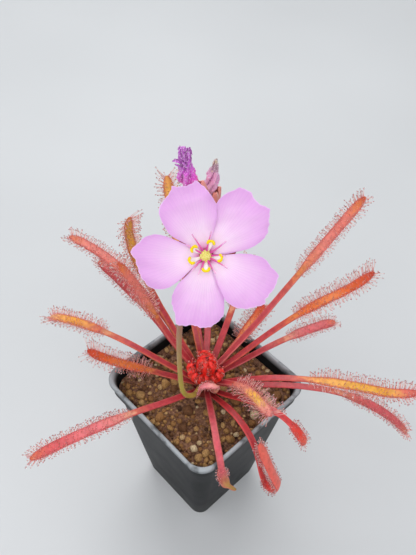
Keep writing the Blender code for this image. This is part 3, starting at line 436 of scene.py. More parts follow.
SPENT_CUP = ((0.0, 0.0014), (0, 0.5, 1), (0.0006, 0.0012, 0.0010), 8)
SPENT_SEPAL = (0.0020, 0.0003)
# The finish of each withered flower: its name and its colours from foot to tip.
WITHERED_COLOURS = (
    ("withered_violet_petal", "0.0 #FF48A4, 0.32 #FF50BC, 0.52 #EC60DC, 0.75 #D060D4, 1.0 #C86CD0"),
    ("withered_mauve_petal",
     "0.0 #FFC8D4, 0.4 #FFBCE4, 0.68 #F0ACD8, 0.80 #C09CAC, 0.90 #A4848C, 0.98 #E6D4B4"),
)
SPENT_TWIST = 3.6
SPENT_TWIST_FOOT = 0.0009
SPENT_ENDS = 7
SPENT_END_LEVELS = (0.66, 0.88)
SPENT_END_REACHES = (0.0021, 0.0034)
SPENT_END_STRAY = (-15, 15)
SPENT_END_BEND = (-60, 60)
SPENT_END_FALL = (-1.1, 0.4)
SPENT_END_THICKNESS = 0.00014
SPENT_SWAY = 0.00025
# Crumpling of the twist: depth, size and seed of each kind of crease.
SPENT_CREASES = ((0.13, 1.3, 0), (0.08, 0.5, 1), (0.04, 0.28, 3))

UPRIGHT = np.array((0.0, 0.0, 1.0))
# How two colours are joined: the second laid over the first, or darkening it.
MIXED = {"data_type": "RGBA"}
MULTIPLIED = {**MIXED, "blend_type": "MULTIPLY"}


def linear(colour):
    """Linear values of an sRGB hex colour."""
    values = [int(colour[i : i + 2], 16) / 255 for i in (1, 3, 5)]
    return (*(v / 12.92 if v <= 0.04045 else ((v + 0.055) / 1.055) ** 2.4 for v in values), 1.0)


def node(tree, kind, settings=None, links=None, output=0):
    """Adds a node, gives it its fields, sockets or ramp stops, links its sockets and returns an output."""
    made = tree.nodes.new("ShaderNode" + kind)
    for name, value in (settings or {}).items():
        if name == "stops":
            stops = [stop.split() for stop in value.split(", ")]
            ramp = made.color_ramp.elements
            ramp[0].position, ramp[1].position = float(stops[0][0]), float(stops[-1][0])
            for place, _ in stops[1:-1]:
                ramp.new(float(place))
            for element, (_, colour) in zip(ramp, stops):
                element.color = linear(colour)
        elif isinstance(name, int) or name in made.inputs:
            made.inputs[name].default_value = value
        else:
            setattr(made, name, value)
    for name, source in (links or {}).items():
        tree.links.new(source, made.inputs[name])
    return made.outputs[output]


def surface(name, *fields, **sockets):
    """A new material with these values on its shader's own sockets, as the material, the function that
    adds its nodes, and these fields: the place on the piece, or values painted on it."""
    material = bpy.data.materials.new(name)
    material.use_nodes = True
    add = partial(node, material.node_tree)
    for socket, value in sockets.items():
        label = socket.replace("_", " ").title().replace("Ior", "IOR")
        material.node_tree.nodes["Principled BSDF"].inputs[label].default_value = value
    found = []
    for field in fields:
        painted = ("Attribute", {"attribute_name": field}, None, "Fac")
        found.append(add("TexCoord", output="Object") if field == "place" else add(*painted))
    return material, add, *found


def finished(material, colour, relief=None, strength=0.0, depth=0.0, rough=None):
    """Joins a colour, a relief of this strength and depth, and a roughness to the material's shader."""
    tree = material.node_tree
    joined = {"Base Color": colour, "Roughness": rough}
    if relief is not None:
        joined["Normal"] = node(tree, "Bump", {"Strength": strength, "Distance": depth}, {"Height": relief})
    for socket, source in joined.items():
        if source is not None:
            tree.links.new(source, tree.nodes["Principled BSDF"].inputs[socket])
    return material


def speckled(name, stops, grain, strength=0.0, depth=0.0, **sockets):
    """A finish whose tone and relief follow one noise."""
    material, add, place = surface(name, "place", **sockets)
    specks = add("TexNoise", grain, {"Vector": place})
    colour = add("ValToRGB", {"stops": stops}, {0: specks})
    return finished(material, colour, specks if depth else None, strength, depth)


def strayed(add, share, noise, reach):
    """The share, made to stray this far either way by the noise."""
    stray = add("MapRange", {"To Min": -reach, "To Max": reach}, {"Value": noise})
    return add("Math", {"operation": "ADD"}, {0: share, 1: stray})


def ribbed(add, across, turns):
    """Even ribs from -1 to 1 across a piece, this many radians over the painted value."""
    spread = add("Math", {"operation": "MULTIPLY", 1: turns}, {0: across})
    return add("Math", {"operation": "SINE"}, {0: spread})


def moulded_polypropylene():
    """Black polypropylene, injection moulded: satin, with a fine grain, and a painted grey highlight along
    the lip.
    """
    material, add, place = surface("moulded_polypropylene", "place", ior=1.49, specular_ior_level=0.10)
    height = add("SeparateXYZ", None, {0: place}, "Z")
    haze = add("TexNoise", {"Scale": 90.0, "Detail": 5.0, "Roughness": 0.6}, {"Vector": place})
    # The grain is about 0.1 mm on the pot and drawn at 0.4 mm, which is as fine as shows.
    grain = add("TexNoise", {"Scale": 2500.0, "Detail": 2.0}, {"Vector": place})
    scuffs = add("TexNoise", {"Scale": 420.0, "Detail": 6.0, "Roughness": 0.7}, {"Vector": place})
    highlight_breakup = add("TexNoise", {"Scale": 130.0, "Detail": 3.0}, {"Vector": place})
    body = add("ValToRGB", {"stops": "0.3 #0C0D0F, 0.7 #191B1D"}, {0: haze})
    # A painted grey highlight lies over the lip's top 3 mm, broken into patches about 8 mm long.
    lip = add("MapRange", {"From Min": 0.0868, "From Max": 0.0898}, {"Value": height})
    highlight_patches = add("MapRange", {"From Min": 0.28, "From Max": 0.50}, {"Value": highlight_breakup})
    lip_highlight = add("Math", {"operation": "MULTIPLY"}, {0: lip, 1: highlight_patches})
    highlit_body = add("Mix", {**MIXED, 7: linear("#A6AAAE")}, {0: lip_highlight, 6: body}, 2)
    specks = add("ValToRGB", {"stops": "0.66 #000000, 0.76 #484848"}, {0: scuffs})
    dusty = add("Mix", {**MIXED, 7: linear("#6B5A44")}, {0: specks, 6: highlit_body}, 2)
    rough = add("MapRange", {"To Min": 0.34, "To Max": 0.52}, {"Value": haze})
    return finished(material, dusty, grain, 0.25, 0.00004, rough)


def damp_peat():
    """Fine peat between the grains: dark, damp and matt, in crumbs about a millimetre across."""
    stops = "0.30 #4A3226, 0.48 #765240, 0.62 #9C7558, 0.78 #BC9470"
    grain = {"Scale": 900.0, "Detail": 8.0, "Roughness": 0.7}
    return speckled("damp_peat", stops, grain, 0.9, 0.0006, roughness=0.88, specular_ior_level=0.3)


def fired_clay():
    """Crushed, fired clay and bark: each grain has its own tone, with a gritty, dusty surface."""
    material, add, place, tone = surface(
        "fired_clay_and_bark", "place", "tone", roughness=0.82, specular_ior_level=0.35
    )
    stops = "0.0 #3A2416, 0.18 #5A3924, 0.34 #805636, 0.50 #A37444, 0.66 #BE9058, 0.82 #D4AC76, 1.0 #E4CCA4"
    base = add("ValToRGB", {"stops": stops}, {0: tone})
    # Pores and dust are 0.2 to 0.6 mm across.
    pores = add("TexNoise", {"Scale": 2200.0, "Detail": 5.0, "Roughness": 0.65}, {"Vector": place})
    shade = add("ValToRGB", {"stops": "0.32 #6A5A4C, 0.62 #FFFFFF"}, {0: pores})
    colour = add("Mix", {**MULTIPLIED, 0: 0.75}, {6: base, 7: shade}, 2)
    return finished(material, colour, pores, 0.7, 0.00018)


def leaf_skin(kind):
    """Living leaf skin: smooth and waxy, its colour running from petiole to tip, deeper at the edges.

    The painted value along is 0 to 1 on the petiole and 1 to 2 on the blade. Fine ridges follow the
    leaf's length."""
    stops, edge, under, wet = LEAF_COLOURS[kind]
    material, add, place, along, across, upper, tone = surface(
        kind + "_leaf_skin", "place", *Skin.painted, roughness=0.42, ior=1.42,
        coat_weight=wet, coat_roughness=0.22,
        subsurface_weight=0.2, subsurface_scale=0.0008, subsurface_radius=(1.0, 0.4, 0.25),
    )
    mottle = add("TexNoise", {"Scale": 420.0, "Detail": 5.0, "Roughness": 0.6}, {"Vector": place})
    half = add("Math", {"operation": "MULTIPLY", 1: 0.5}, {0: along})
    length = add("ValToRGB", {"stops": stops}, {0: strayed(add, half, mottle, 0.07)})
    outward = add("Math", {"operation": "ABSOLUTE"}, {0: across})
    rim = add("MapRange", {"From Min": 0.45, "From Max": 0.98, "To Max": 0.8}, {"Value": outward})
    edged = add("Mix", {**MIXED, 7: linear(edge)}, {0: rim, 6: length}, 2)
    below = add("MapRange", {"To Min": 0.75, "To Max": 0.0}, {"Value": upper})
    sided = add("Mix", {**MIXED, 7: linear(under)}, {0: below, 6: edged}, 2)
    deep = add("MapRange", {"To Min": 0.0, "To Max": 0.55}, {"Value": tone})
    toned = add("Mix", {**MULTIPLIED, 7: linear("#E4C2BC")}, {0: deep, 6: sided}, 2)
    blotch = add("ValToRGB", {"stops": "0.35 #C4B0AA, 0.60 #FFFFFF"}, {0: mottle})
    colour = add("Mix", {**MULTIPLIED, 0: 0.5}, {6: toned, 7: blotch}, 2)
    # Eight ridges, about half a millimetre apart.
    relief = add("Math", {"operation": "MULTIPLY_ADD", 1: 0.35}, {0: ribbed(add, across, 26.0), 2: mottle})
    return finished(material, colour, relief, 0.45, 0.00009)


def tentacle_stalk(name, foot, middle, tip):
    """Tentacle stalks: thin, juicy and half clear, red at the foot and paler towards the gland."""
    material, add, along = surface(
        name, "along", roughness=0.30, ior=1.40, subsurface_weight=0.3, subsurface_scale=0.0004
    )
    stops = f"0.0 {foot}, 0.45 {middle}, 1.0 {tip}"
    return finished(material, add("ValToRGB", {"stops": stops}, {0: along}))


def tentacle_gland(name, deep, bright):
    """Glands at the ends of the tentacles: smooth, crimson beads, no two of quite the same depth."""
    grain = {"Scale": 700.0, "Detail": 2.0}
    return speckled(name, f"0.35 {deep}, 0.65 {bright}", grain, roughness=0.18, ior=1.42)


def sticky_dew():
    """Drops of mucilage round the glands: clear, thick and glossy, a little denser than water."""
    # The drops, under 1 mm across, take up a trace of red from the glands, no two the same.
    return speckled(
        "sticky_dew", "0.35 #FFFAF8, 0.65 #FFE6E6", {"Scale": 800.0, "Detail": 1.0},
        roughness=0.02, ior=1.36, transmission_weight=1.0, specular_ior_level=0.6,
    )


def stem_skin():
    """The stem under the leaves: dull red-brown and fibrous, with paler, corky old leaf scars."""
    stops = "0.28 #3C1512, 0.50 #7A2622, 0.68 #A04A36, 0.82 #B98A5C"
    grain = {"Scale": 1100.0, "Detail": 6.0, "Distortion": 0.6}
    return speckled("stem_skin", stops, grain, 0.6, 0.0002, roughness=0.62, specular_ior_level=0.35)


def stalk_skin():
    """Flower stalk: firm and downy, yellow-green at the foot, turning red-brown and pink upwards."""
    material, add, place = surface(
        "flower_stalk_skin", "place", roughness=0.48, ior=1.42, subsurface_weight=0.1, subsurface_scale=0.0006
    )
    height = add("SeparateXYZ", None, {0: place}, "Z")
    flecks = add("TexNoise", {"Scale": 600.0, "Detail": 4.0}, {"Vector": place})
    share = add("MapRange", {"From Min": 0.09, "From Max": 0.285}, {"Value": height})
    stray = add("Math", {"operation": "MULTIPLY_ADD", 1: 0.12}, {0: flecks, 2: share})
    stops = "0.04 #C8AC50, 0.16 #C0B450, 0.32 #B89A58, 0.60 #AC7860, 0.92 #BE7064"
    colour = add("ValToRGB", {"stops": stops}, {0: stray})
    return finished(material, colour, flecks, 0.3, 0.00005)


def sepal_skin(name, foot, middle, tip):
    """Sepals: leathery, ribbed lengthwise and downy, yellower towards the foot."""
    material, add, place, along, across = surface(
        name, "place", "along", "across", roughness=0.55, ior=1.42, sheen_weight=0.3, sheen_roughness=0.4
    )
    flecks = add("TexNoise", {"Scale": 1500.0, "Detail": 4.0}, {"Vector": place})
    stops = f"0.05 {foot}, 0.45 {middle}, 0.95 {tip}"
    colour = add("ValToRGB", {"stops": stops}, {0: strayed(add, along, flecks, 0.18)})
    return finished(material, colour, ribbed(add, across, 14.0), 0.35, 0.00005)


def petal_skin():
    """Living petals: thin and silky, orchid pink, paler in the middle, with fine veins that fork outwards.

    The painted value along runs from claw to rim, and across runs from one side edge to the other."""
    material, add, place, along, across = surface(
        "silky_petal", "place", "along", "across", roughness=0.52, ior=1.40,
        sheen_weight=0.25, sheen_roughness=0.35,
        subsurface_weight=0.25, subsurface_scale=0.0006, subsurface_radius=(1.0, 0.55, 0.95),
    )
    cloud = add("TexNoise", {"Scale": 330.0, "Detail": 4.0, "Roughness": 0.55}, {"Vector": place})
    stops = "0.0 #CC4C98, 0.05 #EEB0DA, 0.12 #F9DEF2, 0.28 #F5D8F3, 0.50 #EAC2E8, 0.76 #E2B0E2, 0.96 #DAA2DC"
    base = add("ValToRGB", {"stops": stops}, {0: strayed(add, along, cloud, 0.10)})
    # Veins stand about 0.6 mm apart at the rim and fork halfway out, so each petal has 34 and then 68.
    wander = add("Math", {"operation": "MULTIPLY_ADD", 1: 0.012}, {0: cloud, 2: across})
    lines = []
    for count in (34, 68):
        wave = ribbed(add, wander, count * 2 * math.pi)
        lines.append(add("MapRange", {"From Min": 0.25, "From Max": 1.0}, {"Value": wave}))
    outer = add("MapRange", {"From Min": 0.40, "From Max": 0.75, "To Max": 0.8}, {"Value": along})
    forked = add("Math", {"operation": "MULTIPLY"}, {0: lines[1], 1: outer})
    veins = add("Math", {"operation": "MAXIMUM"}, {0: lines[0], 1: forked})
    faint = add("Math", {"operation": "MULTIPLY", 1: 0.14}, {0: veins})
    veined = add("Mix", {**MIXED, 7: linear("#C987D8")}, {0: faint, 6: base}, 2)
    # Painted highlight: a thin, paler line along the outer rim.
    rim = add("MapRange", {"From Min": 0.98, "From Max": 0.998, "To Max": 0.5}, {"Value": along})
    colour = add("Mix", {**MIXED, 7: linear("#EFD0F5")}, {0: rim, 6: veined}, 2)
    return finished(material, colour, veins, 0.35, 0.00002)


def style_skin():
    """Style arms: smooth and juicy, deep pink at the foot and nearly clear at the tips."""
    material, add, place, along = surface(
        "pink_style", "place", "along", roughness=0.35, ior=1.40,
        subsurface_weight=0.2, subsurface_scale=0.0004,
    )
    cloud = add("TexNoise", {"Scale": 1800.0, "Detail": 2.0}, {"Vector": place})
    share = add("Math", {"operation": "MULTIPLY_ADD", 1: 0.2}, {0: cloud, 2: along})
    stops = "0.1 #C42C86, 0.45 #DA4CA2, 0.85 #E67EC0, 1.0 #F0B4DE"
    return finished(material, add("ValToRGB", {"stops": stops}, {0: share}))


def powdery(name, low, high, scale, roughness=0.6):
    """A small flower part with a grainy surface, in two tones."""
    return speckled(
        name, f"0.36 {low}, 0.64 {high}", {"Scale": scale, "Detail": 3.0}, 0.6, 0.00006,
        roughness=roughness, ior=1.40, subsurface_weight=0.1, subsurface_scale=0.0004,
    )


def withered_petal(name, stops):
    """Petals that are over: dry, papery and crinkled, with painted shade in the folds and a painted highlight
    on the crests of the crinkles. The stops run from foot to tip.
    """
    material, add, place, along, fold = surface(
        name, "place", "along", "across", roughness=0.5, sheen_weight=0.15, sheen_roughness=0.3
    )
    # The crinkles are about 0.2 mm apart.
    grain = {"Scale": 4600.0, "Detail": 5.0, "Roughness": 0.7, "Distortion": 0.4}
    crinkle = add("TexNoise", grain, {"Vector": place})
    base = add("ValToRGB", {"stops": stops}, {0: strayed(add, along, crinkle, 0.2)})
    # Painted shade: the deepest folds are darkened towards dark magenta.
    depth = add("ValToRGB", {"stops": "0.0 #A2489C, 0.45 #FFFFFF"}, {0: fold})
    fold_shaded = add("Mix", {**MULTIPLIED, 0: 0.8}, {6: base, 7: depth}, 2)
    # Painted highlight: white-pink flecks on the crests of the crinkles.
    crest_highlight = add("MapRange", {"From Min": 0.54, "From Max": 0.60, "To Max": 0.9}, {"Value": crinkle})
    colour = add("Mix", {**MIXED, 7: linear("#FFE4FC")}, {0: crest_highlight, 6: fold_shaded}, 2)
    return finished(material, colour, crinkle, 0.9, 0.00016)


def studio_floor():
    """A plain pale painted board, with a faint unevenness."""
    grain = {"Scale": 3.0, "Detail": 2.0}
    return speckled("pale_floor", "0.3 #C9CBCD, 0.7 #D2D4D6", grain, roughness=0.7, specular_ior_level=0.3)


def unit(vectors):
    """The vectors at length 1."""
    return vectors / np.linalg.norm(vectors, axis=-1, keepdims=True)


def ease(share):
    """A smooth rise from 0 to 1."""
    share = np.clip(share, 0.0, 1.0)
    return share * share * (3 - 2 * share)


def values_at(values, shares):
    """The values at shares of the way along equally spaced values."""
    return np.interp(np.asarray(shares, float) * (len(values) - 1), np.arange(len(values)), values)


def direction(heading, rise):
    """Unit vectors at headings and rises in degrees."""
    h, r = np.radians(heading), np.radians(rise)
    return np.stack(np.broadcast_arrays(np.cos(h) * np.cos(r), np.sin(h) * np.cos(r), np.sin(r)), -1)


def from_axis(heading, reach, height):
    """The place at this reach from the Z axis and this height."""
    return direction(heading, 0.0) * reach + (0.0, 0.0, height)


def ripple(points, size, seed):
    """A smooth random field between about -1 and 1, whose lumps are of this size."""
    rng = np.random.default_rng(seed)
    ways = unit(rng.normal(size=(7, 3))) * rng.uniform(0.7, 1.5, (7, 1)) * 2 * math.pi / size
    phases = rng.uniform(0, 2 * math.pi, 7)
    return np.sin(np.asarray(points) @ ways.T + phases).sum(-1) / 3.5


def rippled(points, waves, seed=0):
    """A relief of several waves, each given as its height, size and seed."""
    return sum(high * ripple(points, size, seed + k) for high, size, k in waves)


def smooth_route(points, count, slack=1.0):
    """Equally many steps along a curve through the points. Less slack leaves sharper corners at them."""
    points = np.array(points, float)
    ends = np.vstack([2 * points[0] - points[1], points, 2 * points[-1] - points[-2]])
    place = np.linspace(0, len(points) - 1, count)
    k = np.minimum(place.astype(int), len(points) - 2)
    t = (place - k)[:, None]
    a, b, c, d = (ends[k + i] for i in range(4))
    leave, enter = 0.5 * slack * (c - a), 0.5 * slack * (d - b)
    return b + t * leave + t**2 * (3 * (c - b) - 2 * leave - enter) + t**3 * (2 * (b - c) + leave + enter)


def shells(rings, first=None, last=None):
    """Closed skins over rings of points, shaped (skins, rings, points, 3), with a pole at each end."""
    rings = np.asarray(rings, float)
    rings = rings[None] if rings.ndim == 3 else rings
    n, r, k, _ = rings.shape
    first = rings[:, 0].mean(1) if first is None else np.reshape(first, (n, 3))
    last = rings[:, -1].mean(1) if last is None else np.reshape(last, (n, 3))
    points = np.concatenate([rings.reshape(n, r * k, 3), first[:, None], last[:, None]], 1)
    i, j = np.arange(r - 1)[:, None], np.arange(k)[None]
    after = (j + 1) % k
    quads = np.stack([i * k + j, i * k + after, (i + 1) * k + after, (i + 1) * k + j], -1).reshape(-1, 4)
    j, after = np.arange(k), (np.arange(k) + 1) % k
    low = np.stack([after, j, np.full(k, r * k)], 1)
    high = np.stack([(r - 1) * k + j, (r - 1) * k + after, np.full(k, r * k + 1)], 1)
    steps = (r * k + 2) * np.arange(n)[:, None, None]
    tris = np.concatenate([low, high])
    return points.reshape(-1, 3), [(quads + steps).reshape(-1, 4), (tris + steps).reshape(-1, 3)]


def crosswise(ways):
    """Two directions across each way."""
    other = np.where(np.abs(ways[..., 2:]) < 0.9, [0.0, 0.0, 1.0], [1.0, 0.0, 0.0])
    a = unit(np.cross(ways, other))
    return a, np.cross(ways, a)


def rings_at(centres, a, b, radii, sides):
    """Round rings of points at the centres, in the planes of a and b."""
    angles = np.arange(sides) * 2 * math.pi / sides
    radii = np.asarray(radii, float)[..., None, None]
    across = a[..., None, :] * np.cos(angles)[:, None] + b[..., None, :] * np.sin(angles)[:, None]
    return centres[..., None, :] + radii * across


class Skin:
    """Gathers the closed skins of one piece, with the finish and the painted values of each."""

    painted = ("along", "across", "upper", "tone")

    def __init__(self):
        self.points, self.faces, self.finishes = [], [], []
        self.paint = {name: [] for name in self.painted}
        self.count = 0

    def add(self, points, faces, finish=0, **paint):
        """Takes in a closed skin of these points, with its blocks of faces."""
        points = np.asarray(points, float)
        for block in faces:
            self.faces.extend((block + self.count).tolist())
            self.finishes.extend([finish] * len(block))
        self.points.append(points)
        for name in self.painted:
            self.paint[name].append(np.broadcast_to(np.asarray(paint.get(name, 0.0), float), (len(points),)))
        self.count += len(points)

    def tube(self, route, radii, sides, finish=0, **paint):
        """A round tube along the route, with a radius at each of its points."""
        route = np.asarray(route, float)
        ways = unit(np.gradient(route, axis=0))
        a = np.empty_like(ways)
        a[0] = crosswise(ways[0])[0]
        for i in range(1, len(ways)):
            a[i] = unit(a[i - 1] - ways[i] * (a[i - 1] @ ways[i]))
        rings = rings_at(route, a, np.cross(ways, a), radii, sides)
        along = np.repeat(np.linspace(0, 1, len(route)), sides)
        self.add(*shells(rings), finish, **{"along": np.append(along, (0.0, 1.0)), **paint})

    def globes(self, centres, axes, radii, stretch, sides, bands, finish=0, **paint):
        """Round or oval beads at the centres."""
        centres, axes = np.atleast_2d(centres), np.atleast_2d(axes)
        radii = np.broadcast_to(np.asarray(radii, float), (len(centres),))
        a, b = crosswise(axes)
        lift = np.pi * np.arange(1, bands + 1) / (bands + 1)
        reach = radii * stretch
        middles = centres[:, None] - axes[:, None] * (reach[:, None] * np.cos(lift))[..., None]
        rings = rings_at(middles, a[:, None], b[:, None], radii[:, None] * np.sin(lift), sides)
        ends = axes * reach[:, None]
        self.add(*shells(rings, centres - ends, centres + ends), finish, **paint)

    def strap(self, place, side, face, widths, thick, finish, points, groove, keel, **paint):
        """A flat strap on its middle line, with a shallow groove along its face and a low keel below."""
        n = len(place)
        angles = np.arange(points) * 2 * math.pi / points
        x, up = np.cos(angles), np.sin(angles)
        measures = (widths, thick, groove, keel)
        widths, thick, groove, keel = (np.broadcast_to(value, n)[:, None] for value in measures)
        sunk = np.where(up > 0.01, groove, 0.0) + np.where(up < -0.01, keel, 0.0)
        z = np.sign(up) * np.abs(up) ** 0.75 * 0.5 - sunk * (1 - x**2) ** 2
        aside, above = side[:, None] * (0.5 * widths * x)[..., None], face[:, None] * (thick * z)[..., None]
        for name, value in {"along": np.linspace(0, 1, n), **paint}.items():
            value = np.broadcast_to(value, n)
            paint[name] = np.append(np.repeat(value, points), (value[0], value[-1]))
        paint["across"] = np.append(np.tile(x, n), (0.0, 0.0))
        paint["upper"] = np.append(np.tile(up > -0.01, n), (True, True))
        self.add(*shells(place[:, None] + aside + above), finish, **paint)

    def build(self, name, materials, replaced=(), transform=None):
        """Makes the piece, sets it riding on the plant's one body and hides the solids it stands for."""
        mesh = bpy.data.meshes.new(name)
        points = np.concatenate(self.points)
        mesh.from_pydata(points.tolist(), [], self.faces)
        for material in materials:
            mesh.materials.append(material)
        mesh.polygons.foreach_set("material_index", np.array(self.finishes, np.int32))
        for label in self.painted:
            values = np.concatenate(self.paint[label]).astype(np.float32)
            if values.any():
                mesh.attributes.new(label, "FLOAT", "POINT").data.foreach_set("value", values)
        if transform is not None:
            mesh.transform(transform)
        bm = bmesh.new()
        bm.from_mesh(mesh)
        bmesh.ops.recalc_face_normals(bm, faces=bm.faces)
        bm.to_mesh(mesh)
        bm.free()
        mesh.shade_smooth()
        mesh.set_sharp_from_angle(angle=math.radians(60))
        piece = placed(name, mesh)
        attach(piece, "root")
        if replaced:
            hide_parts(*replaced)
        return piece


def placed(name, data):
    """A new object of the scene with this mesh, lamp or camera."""
    thing = bpy.data.objects.new(name, data)
    bpy.context.scene.collection.objects.link(thing)
    return thing


def rounded_square(half, corner, height):
    """Points round a square with rounded corners at this height, anticlockwise, with points on its sides."""
    reach = half - corner
    points = []
    for quarter in range(0, 360, 90):
        turns = quarter + np.linspace(0, 90, CORNER_STEPS + 1)
        arc = direction(quarter + 45, 0.0) * reach * math.sqrt(2) + direction(turns, 0.0) * corner
        steps = 2 * reach * np.arange(1, SIDE_STEPS)[:, None] / SIDE_STEPS
        points += [arc, arc[-1] + direction(quarter + 180, 0.0) * steps]
    return np.concatenate(points) + (0.0, 0.0, height)


def wall_half(height):
    """Half width of the outside of the pot's tapered body at this height."""
    top_half = POT_HALF - LIP_WIDTH - COLLAR_STEP
    return FOOT_HALF + (top_half - FOOT_HALF) * min(height / COLLAR_FOOT, 1.0)


def pot_inside():
    """Half widths and heights of the pot's inside, from the lip down to the floor."""
    body, collar = COLLAR_INSIDE
    collar_half = wall_half(COLLAR_FOOT) + COLLAR_STEP - WALL
    return (
        (POT_HALF - LIP_WIDTH - 0.0004, POT_HEIGHT),
        (collar_half, POT_HEIGHT - LIP_HEIGHT),
        (collar_half - 0.0002, collar),
        (wall_half(COLLAR_FOOT) - WALL, body),
        (wall_half(FLOOR) - WALL, FLOOR),
    )


def corner_at(height):
    """Corner radius of the pot at this height."""
    return FOOT_CORNER + (RIM_CORNER - FOOT_CORNER) * height / POT_HEIGHT


def mix_half(height):
    """Half width of the mix at this height, clear of the pot's inside."""
    halves, heights = zip(*reversed(pot_inside()))
    return np.interp(height, heights, halves) - SEAT_GAP


def make_pot(finish):
    """The pot, with rounded lip, collar and foot, and its four drain holes."""
    collar = wall_half(COLLAR_FOOT) + COLLAR_STEP
    lip_foot = POT_HEIGHT - LIP_HEIGHT
    inside = pot_inside()
    # Half width and height at each edge, up the outside, over the lip and down the inside.
    sections = [
        (FOOT_HALF - 0.0013, 0.0), (FOOT_HALF - 0.0007, 0.0001), (FOOT_HALF - 0.0002, 0.0004),
        (FOOT_HALF, 0.0009),
        *((wall_half(height), height) for height in (0.02, 0.04, 0.06, COLLAR_FOOT - 0.0022)),
        (wall_half(COLLAR_FOOT - 0.0012) + 0.00015, COLLAR_FOOT - 0.0012),
        (collar - 0.0007, COLLAR_FOOT - 0.0003), (collar - 0.0002, COLLAR_FOOT),
        (collar, COLLAR_FOOT + 0.0006),
        (collar + 0.0001, lip_foot - 0.0012), (collar + 0.0003, lip_foot - 0.0004),
        (POT_HALF - 0.0005, lip_foot), (POT_HALF - 0.0001, lip_foot + 0.0003), (POT_HALF, lip_foot + 0.0008),
        (POT_HALF, POT_HEIGHT - 0.0010), (POT_HALF - 0.00015, POT_HEIGHT - 0.0004),
        (POT_HALF - 0.0005, POT_HEIGHT - 0.0001), (POT_HALF - 0.0009, POT_HEIGHT),
        (inside[0][0] + 0.0003, POT_HEIGHT - 0.0001), (inside[0][0], POT_HEIGHT - 0.0005),
        *inside[1:],
    ]
    rings = [rounded_square(half, corner_at(height), height) for half, height in sections]
    skin = Skin()
    skin.add(*shells(np.array(rings)))
    pot = skin.build("nursery_pot", [finish], ["pot"])
    bm = bmesh.new()
    for k in range(4):
        place = Matrix.Translation(from_axis(90.0 * k, DRAIN_REACH, 0.0))
        bmesh.ops.create_cone(
            bm, cap_ends=True, segments=32, radius1=DRAIN_RADIUS, radius2=DRAIN_RADIUS, depth=DRAIN_CUT,
            matrix=place,
        )
    mesh = bpy.data.meshes.new("drains")
    bm.to_mesh(mesh)
    bm.free()
    drains = placed("drains", mesh)
    cut = pot.modifiers.new("drains", "BOOLEAN")
    cut.operation = "DIFFERENCE"
    cut.object = drains
    graph = bpy.context.evaluated_depsgraph_get()
    pot.data = bpy.data.meshes.new_from_object(pot.evaluated_get(graph))
    pot.modifiers.clear()
    bpy.data.objects.remove(drains)


def make_mix(peat):
    """The body of the mix, down to the pot's floor, with an uneven top."""
    half = mix_half(SOIL_TOP)
    corner = corner_at(SOIL_TOP) + SOIL_CORNER_EXTRA
    rings = []
    for level in (FLOOR + SEAT_GAP, *COLLAR_INSIDE):
        scale = mix_half(level) / half
        rings.append(rounded_square(half, corner, level) * (scale, scale, 1))
    for share in 1 - np.arange(SOIL_RINGS) / SOIL_RINGS:
        ring = rounded_square(half, corner, SOIL_TOP) * (share, share, 1)
        ring[:, 2] += rippled(ring, SOIL_RELIEF) * min(1.0, 12 * (1 - share)) - SOIL_SINK
        rings.append(ring)
    skin = Skin()
    skin.add(*shells(np.array(rings)))
    skin.build("potting_mix", [peat], ["soil"])


def bead_form(subdivisions):
    """Points and faces of a ball of unit radius."""
    bm = bmesh.new()
    bmesh.ops.create_icosphere(bm, subdivisions=subdivisions, radius=1.0)
    points = np.array([vert.co for vert in bm.verts])
    faces = np.array([[vert.index for vert in face.verts] for face in bm.faces])
    bm.free()
    return points, faces


def make_grains(finish):
    """Crushed grains of clay and bark, bedded in the top of the mix."""
    rng = random.Random(23)
    forms = (bead_form(3), bead_form(2))
    half = mix_half(SOIL_TOP)
    corner = corner_at(SOIL_TOP) + SOIL_CORNER_EXTRA
    laid = []
    skin = Skin()
    for kind, (count, small, large) in enumerate(GRAIN_SIZES):
        for _ in range(count):
            radius = rng.uniform(small, large)
            x, y = (rng.uniform(radius - half, half - radius) for _ in range(2))
            beyond = math.hypot(max(abs(x) + corner - half, 0), max(abs(y) + corner - half, 0))
            if beyond > corner - radius or math.hypot(x, y) < STEM_CLEARANCE + radius:
                continue
            if any((x - a) ** 2 + (y - b) ** 2 < (GRAIN_OVERLAP * (radius + r)) ** 2 for a, b, r in laid):
                continue
            laid.append((x, y, radius))
            points, faces = forms[min(kind, 1)]
            points = points * (1 + rippled(points, GRAIN_LUMPS, len(laid))[:, None])
            for _ in range(GRAIN_FLATS):
                flat = np.array([rng.gauss(0, 1) for _ in range(3)])
                flat /= np.linalg.norm(flat)
                over = np.maximum(points @ flat - rng.uniform(*FLAT_DEPTHS), 0)
                points = points - 0.9 * flat * over[:, None]
            stretch = np.array([rng.uniform(*ends) for ends in GRAIN_STRETCHES])
            turn = Matrix.Rotation(rng.uniform(0, 6.28), 3, "Z")
            turn = turn @ Matrix.Rotation(rng.uniform(-GRAIN_TILT, GRAIN_TILT), 3, "X")
            points = (points * stretch * radius) @ np.array(turn).T
            points += (x, y, SOIL_TOP + radius * rng.uniform(*GRAIN_RISES))
            tone = min(max(rng.gauss(GRAIN_TONES[kind], GRAIN_TONE_SPREAD), 0.02), 1.0)
            skin.add(points, [faces], 0, tone=tone)
    skin.build("mix_grains", [finish])


